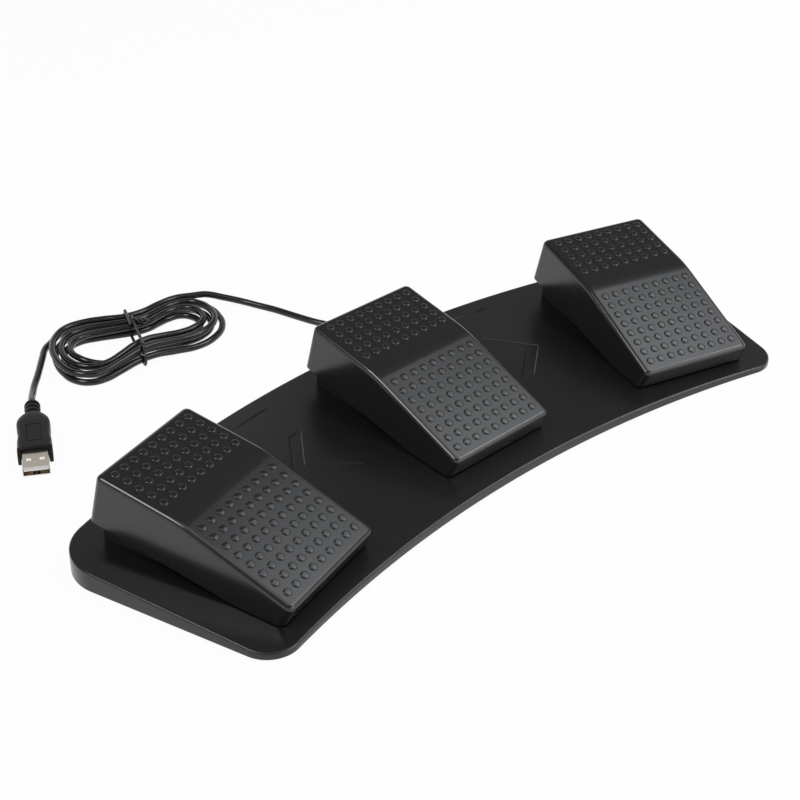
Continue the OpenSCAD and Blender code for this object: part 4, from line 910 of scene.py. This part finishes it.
def add_pedal(side, dome):
    skin = add_piece("pedal_skin", pedal_wedge(), PEDAL_BLACK)
    wall = skin.modifiers.new("wall", "SOLIDIFY")
    wall.thickness = PEDAL_WALL * MM
    wall.offset = -1
    wall.use_even_offset = True
    walled = evaluated_mesh(skin)
    thin = skin.data
    bpy.data.objects.remove(skin)
    bpy.data.meshes.remove(thin)
    bm = bmesh.new()
    bm.from_mesh(walled)
    bpy.data.meshes.remove(walled)
    add_tread(bm, dome)
    for hand in (-1, 1):
        ear = bmesh.new()
        spun(ear, PIVOT_EAR, moved(0, *PIVOT) @ Matrix.Diagonal((hand, 1, 1, 1)))
        face_outward(ear)
        mesh = bpy.data.meshes.new("ear")
        ear.to_mesh(mesh)
        ear.free()
        bm.from_mesh(mesh)
        bpy.data.meshes.remove(mesh)
    add_rod(bm, STUB_RADIUS, STUB_LENGTH, moved(0, SPRING_Y, STUB_FOOT))
    add_rod(bm, PUSHER_RADIUS, PUSHER_LENGTH, moved(0, SWITCH_Y, PUSHER_FOOT))
    bmesh.ops.transform(bm, matrix=PEDAL_SEAT[side], verts=bm.verts[:])
    pedal = add_piece("pedal_shell_" + side, bm, PEDAL_BLACK)
    pedal.data.materials.append(BUMP_BLACK)
    shade(pedal)
    seat(pedal, "pedal_" + side, "black_plastic", "pedal_" + side)


def add_spring(side):
    """A return spring with closed ends."""
    bm = bmesh.new()
    start = moved(SPRING_RADIUS, 0, SPRING_FOOT + SPRING_WIRE) @ turned(90, "X")
    section = bmesh.ops.create_circle(bm, cap_ends=True, segments=10, radius=SPRING_WIRE * MM, matrix=start)
    end = section["verts"] + list({g for v in section["verts"] for g in list(v.link_edges) + list(v.link_faces)})
    for turns, climb in SPRING_RUNS:
        steps = int(turns * SPRING_STEPS)
        swept = bmesh.ops.spin(bm, geom=end, cent=(0, 0, 0), axis=(0, 0, 1), dvec=(0, 0, climb * MM / steps),
                               angle=2 * math.pi * turns, steps=steps, use_merge=False, use_duplicate=False)
        end = swept["geom_last"]
    face_outward(bm)
    bmesh.ops.transform(bm, matrix=PEDAL_SEAT[side] @ moved(0, SPRING_Y, 0), verts=bm.verts[:])
    spring = add_piece("pedal_spring_" + side, bm, SPRING_STEEL)
    spring.data.shade_smooth()
    spring.data.set_sharp_from_angle(angle=math.radians(60))
    seat(spring, "base", "steel", "return_spring_" + side)
    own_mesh(spring)


tread_dome = bump_dome()
for pedal_side in SIDES:
    add_pedal(pedal_side, tread_dome)
    add_spring(pedal_side)
bpy.data.meshes.remove(tread_dome)


# Strain relief: a grooved sleeve that tapers to the cord, as (along, out)
RELIEF_PROFILE = [
    (-3.85, 1.65), (-3.85, 3.9), (-2.45, 3.9), (-2.45, 3.38), (0, 3.38), (0, 4.3), (0.3, 4.6), (1.1, 4.6),
    (1.4, 4.3), (1.4, 3.45), (3.6, 3.22), (3.9, 3.1), (4.0, 2.75), (6.0, 2.6), (6.1, 2.95), (6.4, 3.0),
    (8.6, 2.75), (8.9, 2.65), (9.0, 2.3), (11.0, 2.15), (11.1, 2.45), (11.4, 2.48), (13.6, 2.25), (14, 2.1),
    (14, 1.65)]


def add_strain_relief():
    bm = bmesh.new()
    spun(bm, RELIEF_PROFILE, OUTLET @ turned(90, "Z"))
    relief = add_piece("strain_relief", bm, CORD_BLACK)
    shade(relief, 50)
    seat(relief, "base", "cord_black", "cord_strain_relief")


add_strain_relief()


# Wires inside the base, from each switch to its header, and the cord's inner lead
WIRE_LEVEL = 3.9
HEADER_LEVEL = 6.15
WIRE_CLIMB = [WIRE_LEVEL + 0.8, HEADER_LEVEL, HEADER_LEVEL]
WIRE_RADIUS = 0.65
# From a switch down through the deck, in the pedal's frame
WIRE_DROP = [
    (0, -47.02, 4.2), (0, -45.62, 4.2), (0, -41.42, 3.8), (0, -39.62, 2.4), (0, -39.02, 0), (0, -39.02, -2)]
# From there over the cover, and with the last three points up to the header
WIRE_RUNS = {
    "left": [
        (-128, 1), (-122, 5), (-110, 11), (-95, 19), (-80, 26), (-65, 32), (-50, 36.5), (-35, 39.6), (-20, 41.6),
        (-6, 42.6), (4, 42.8), (11.4, 42.7), (17.2, 42.615), (20, 42.615)],
    "middle": [(0.6, 19.5), (2.6, 23), (5, 27), (8, 31), (11.6, 34.6), (17.2, 36.215), (20, 36.215)],
    "right": [
        (128.5, 1), (123, 5), (113, 12), (103, 20), (93, 28), (82, 35), (73, 38.8), (66.8, 39.415),
        (64, 39.415)]}
# The inner lead: how far the strain relief reaches inside, and the lead's points behind it
RELIEF_INSIDE = 3.85
INNER_POINTS = [(33, 58.2, 6.65), (33, 54.8, 6.8), (33, 51.4, 6.8)]


def add_inner_wires():
    for side, run in WIRE_RUNS.items():
        start = [(PEDAL_SEAT[side] @ (Vector(p) * MM)) / MM for p in WIRE_DROP]
        heights = [WIRE_LEVEL] * (len(run) - len(WIRE_CLIMB)) + WIRE_CLIMB
        path = start + [Vector((x, y, z)) for (x, y), z in zip(run, heights)]
        wire = swept_line("switch_wire_" + side, [path], WIRE_RADIUS, TIE_BLACK, 4, 2)
        seat(wire, "base", "cord_black", "switch_wires_" + side)
    outward = (OUTLET.to_3x3() @ Vector((0, 1, 0))).normalized()
    start = OUTLET.translation / MM - RELIEF_INSIDE * outward
    inner = [start, start - 3 * outward] + [Vector(p) for p in INNER_POINTS]
    lead = swept_line("cord_inner_end", [inner], CORD_DIAMETER / 2, CORD_BLACK, 4, 3)
    seat(lead, "base", "cord_black", "cord_inner_lead")


add_inner_wires()


# Solids that stay as they are, with their own finish and the width of their softened edges
KEPT_NODES = {
    "base_bottom_cover": (HOUSING_BLACK, 0.25),
    "cover_screws": (PLATED_STEEL, 0.12),
    "rubber_feet": (FOOT_RUBBER, 0.3),
    "housing_screws": (PLATED_STEEL, 0),
    "controller_board": (BOARD_GREEN, 0),
    "board_components": (PART_BLACK, 0.1),
    "board_headers": (HEADER_WHITE, 0.12),
    "board_screws": (PLATED_STEEL, 0),
    "plug_contacts": (CONTACT_GOLD, 0.04)}
for pedal_side in SIDES:
    KEPT_NODES["pivot_pin_" + pedal_side] = (PLATED_STEEL, 0.2)
    KEPT_NODES["pedal_housing_" + pedal_side] = (HOUSING_BLACK, 0.35)
    KEPT_NODES["micro_switch_" + pedal_side] = (PART_BLACK, 0.2)
    KEPT_NODES["switch_plunger_" + pedal_side] = (PLUNGER_RED, 0)
for node_name, (finish, softened) in KEPT_NODES.items():
    solid = cad_nodes[node_name]
    for holder in solid.material_slots:
        holder.material = finish
    if softened:
        weld = solid.modifiers.new("weld", "WELD")
        weld.merge_threshold = MERGE_REACH * MM
        soft = solid.modifiers.new("soft_edges", "BEVEL")
        soft.width = softened * MM
        soft.segments = 2
        soft.limit_method = "ANGLE"
        soft.angle_limit = math.radians(40)


# Studio: a pale floor, a white backdrop round the horizon, a dim room above, and softboxes
FLOOR_RADIUS = 6
FLOOR_TONE = 0.82
FLOOR_WHITE = 0.95  # share of plain white in the floor that the camera sees
HORIZON_BAND = (0.24, 0.46)  # heights between which the horizon fades into the ceiling
CEILING_LIGHT = 0.19
HORIZON_LIGHT = 0.85


def ray_kinds(tree):
    """Two sockets: 1 for a ray from the camera, and 1 for a ray that was reflected or let through."""
    path = add_node(tree, "LightPath")
    glints = add_node(tree, "Math", operation="ADD")
    add_link(tree, path.outputs["Is Glossy Ray"], glints.inputs[0])
    add_link(tree, path.outputs["Is Transmission Ray"], glints.inputs[1])
    return path.outputs["Is Camera Ray"], glints.outputs["Value"]


def add_floor():
    bm = bmesh.new()
    bmesh.ops.create_circle(bm, cap_ends=True, segments=64, radius=FLOOR_RADIUS)
    finish = bpy.data.materials.new("pale_floor")
    finish.use_nodes = True
    tree = finish.node_tree
    tree.nodes.clear()
    out = add_node(tree, "OutputMaterial")
    matt = add_node(tree, "BsdfDiffuse", {"Color": (FLOOR_TONE, FLOOR_TONE, FLOOR_TONE, 1)})
    white = add_node(tree, "Emission", {"Color": (1, 1, 1, 1)})
    from_camera, glints = ray_kinds(tree)
    seen = add_node(tree, "Math", {1: FLOOR_WHITE}, operation="MULTIPLY_ADD", use_clamp=True)
    mix = add_node(tree, "MixShader")
    add_link(tree, from_camera, seen.inputs[0])
    add_link(tree, glints, seen.inputs[2])
    add_link(tree, seen.outputs["Value"], mix.inputs["Fac"])
    add_link(tree, matt.outputs["BSDF"], mix.inputs[1])
    add_link(tree, white.outputs["Emission"], mix.inputs[2])
    add_link(tree, mix.outputs["Shader"], out.inputs["Surface"])
    floor = add_piece("studio_floor", bm, finish)


def add_room():
    """White behind the object and low round it, and a dim ceiling."""
    world = bpy.data.worlds.new("studio_room")
    scene.world = world
    world.use_nodes = True
    tree = world.node_tree
    tree.nodes.clear()
    out = add_node(tree, "OutputWorld")
    place = add_node(tree, "TexCoord")
    apart = add_node(tree, "SeparateXYZ")
    low = add_node(tree, "MapRange", {
        "From Min": HORIZON_BAND[0], "From Max": HORIZON_BAND[1], "To Min": 1, "To Max": 0},
        interpolation_type="SMOOTHSTEP")
    level = add_node(tree, "MapRange", {"To Min": CEILING_LIGHT, "To Max": HORIZON_LIGHT})
    room = add_node(tree, "Background", {"Color": (1, 1, 1, 1)})
    white = add_node(tree, "Background", {"Color": (1, 1, 1, 1), "Strength": 1})
    from_camera, glints = ray_kinds(tree)
    seen = add_node(tree, "Math", operation="MULTIPLY_ADD", use_clamp=True)
    mix = add_node(tree, "MixShader")
    add_link(tree, place.outputs["Generated"], apart.inputs["Vector"])
    add_link(tree, apart.outputs["Z"], low.inputs["Value"])
    add_link(tree, low.outputs["Result"], level.inputs["Value"])
    add_link(tree, level.outputs["Result"], room.inputs["Strength"])
    add_link(tree, glints, seen.inputs[0])
    add_link(tree, low.outputs["Result"], seen.inputs[1])
    add_link(tree, from_camera, seen.inputs[2])
    add_link(tree, seen.outputs["Value"], mix.inputs["Fac"])
    add_link(tree, room.outputs["Background"], mix.inputs[1])
    add_link(tree, white.outputs["Background"], mix.inputs[2])
    add_link(tree, mix.outputs["Shader"], out.inputs["Surface"])


def add_softbox(name, place, aim, size, power, colour, shape):
    lamp = bpy.data.lights.new(name, "AREA")
    lamp.shape = shape
    lamp.size, lamp.size_y = size
    lamp.energy = power
    lamp.color = colour
    box = bpy.data.objects.new(name, lamp)
    way = (Vector(aim) - Vector(place)).to_track_quat("-Z", "Y").to_matrix().to_4x4()
    box.matrix_world = Matrix.Translation(place) @ way
    scene.collection.objects.link(box)


# Place, aim, size, power in watts, colour and shape
# Boxes that overlap hang at slightly different heights, so that each shows in reflections
COOL_WHITE = (0.92, 0.96, 1.0)
SOFTBOXES = {
    "key_softbox": ((0.80, -0.62, 1.1), (0.80, -0.62, 0), (0.9, 1.5), 5.3, COOL_WHITE, "ELLIPSE"),
    "key_inner": ((0.80, -0.74, 1.09), (0.80, -0.74, 0), (0.9, 1.5), 3.6, COOL_WHITE, "ELLIPSE"),
    "top_card": ((0.05, -0.25, 1.12), (0.05, -0.25, 0), (0.9, 0.6), 2.0, (0.96, 0.98, 1.0), "RECTANGLE"),
    "key_core": ((1.0, -0.75, 1.08), (1.0, -0.75, 0), (0.36, 0.36), 2.6, (0.95, 0.97, 1.0), "ELLIPSE"),
    "left_softbox": ((-0.75, 0.16, 1.05), (0, 0, 0), (0.6, 0.42), 6.8, (1.0, 0.99, 0.97), "RECTANGLE"),
    "front_fill": ((0.35, -1.2, 0.35), (0, 0, 0.02), (1.2, 0.6), 4.5, (1.0, 1.0, 1.0), "RECTANGLE"),
    "rear_card": ((0.46, 1.20, 0.82), (-0.14, 0.12, 0), (0.8, 0.4), 0.5, (1.0, 0.98, 0.95), "RECTANGLE")}
add_floor()
add_room()
for lamp_name, settings in SOFTBOXES.items():
    add_softbox(lamp_name, *settings)
scene.view_settings.view_transform = "Standard"
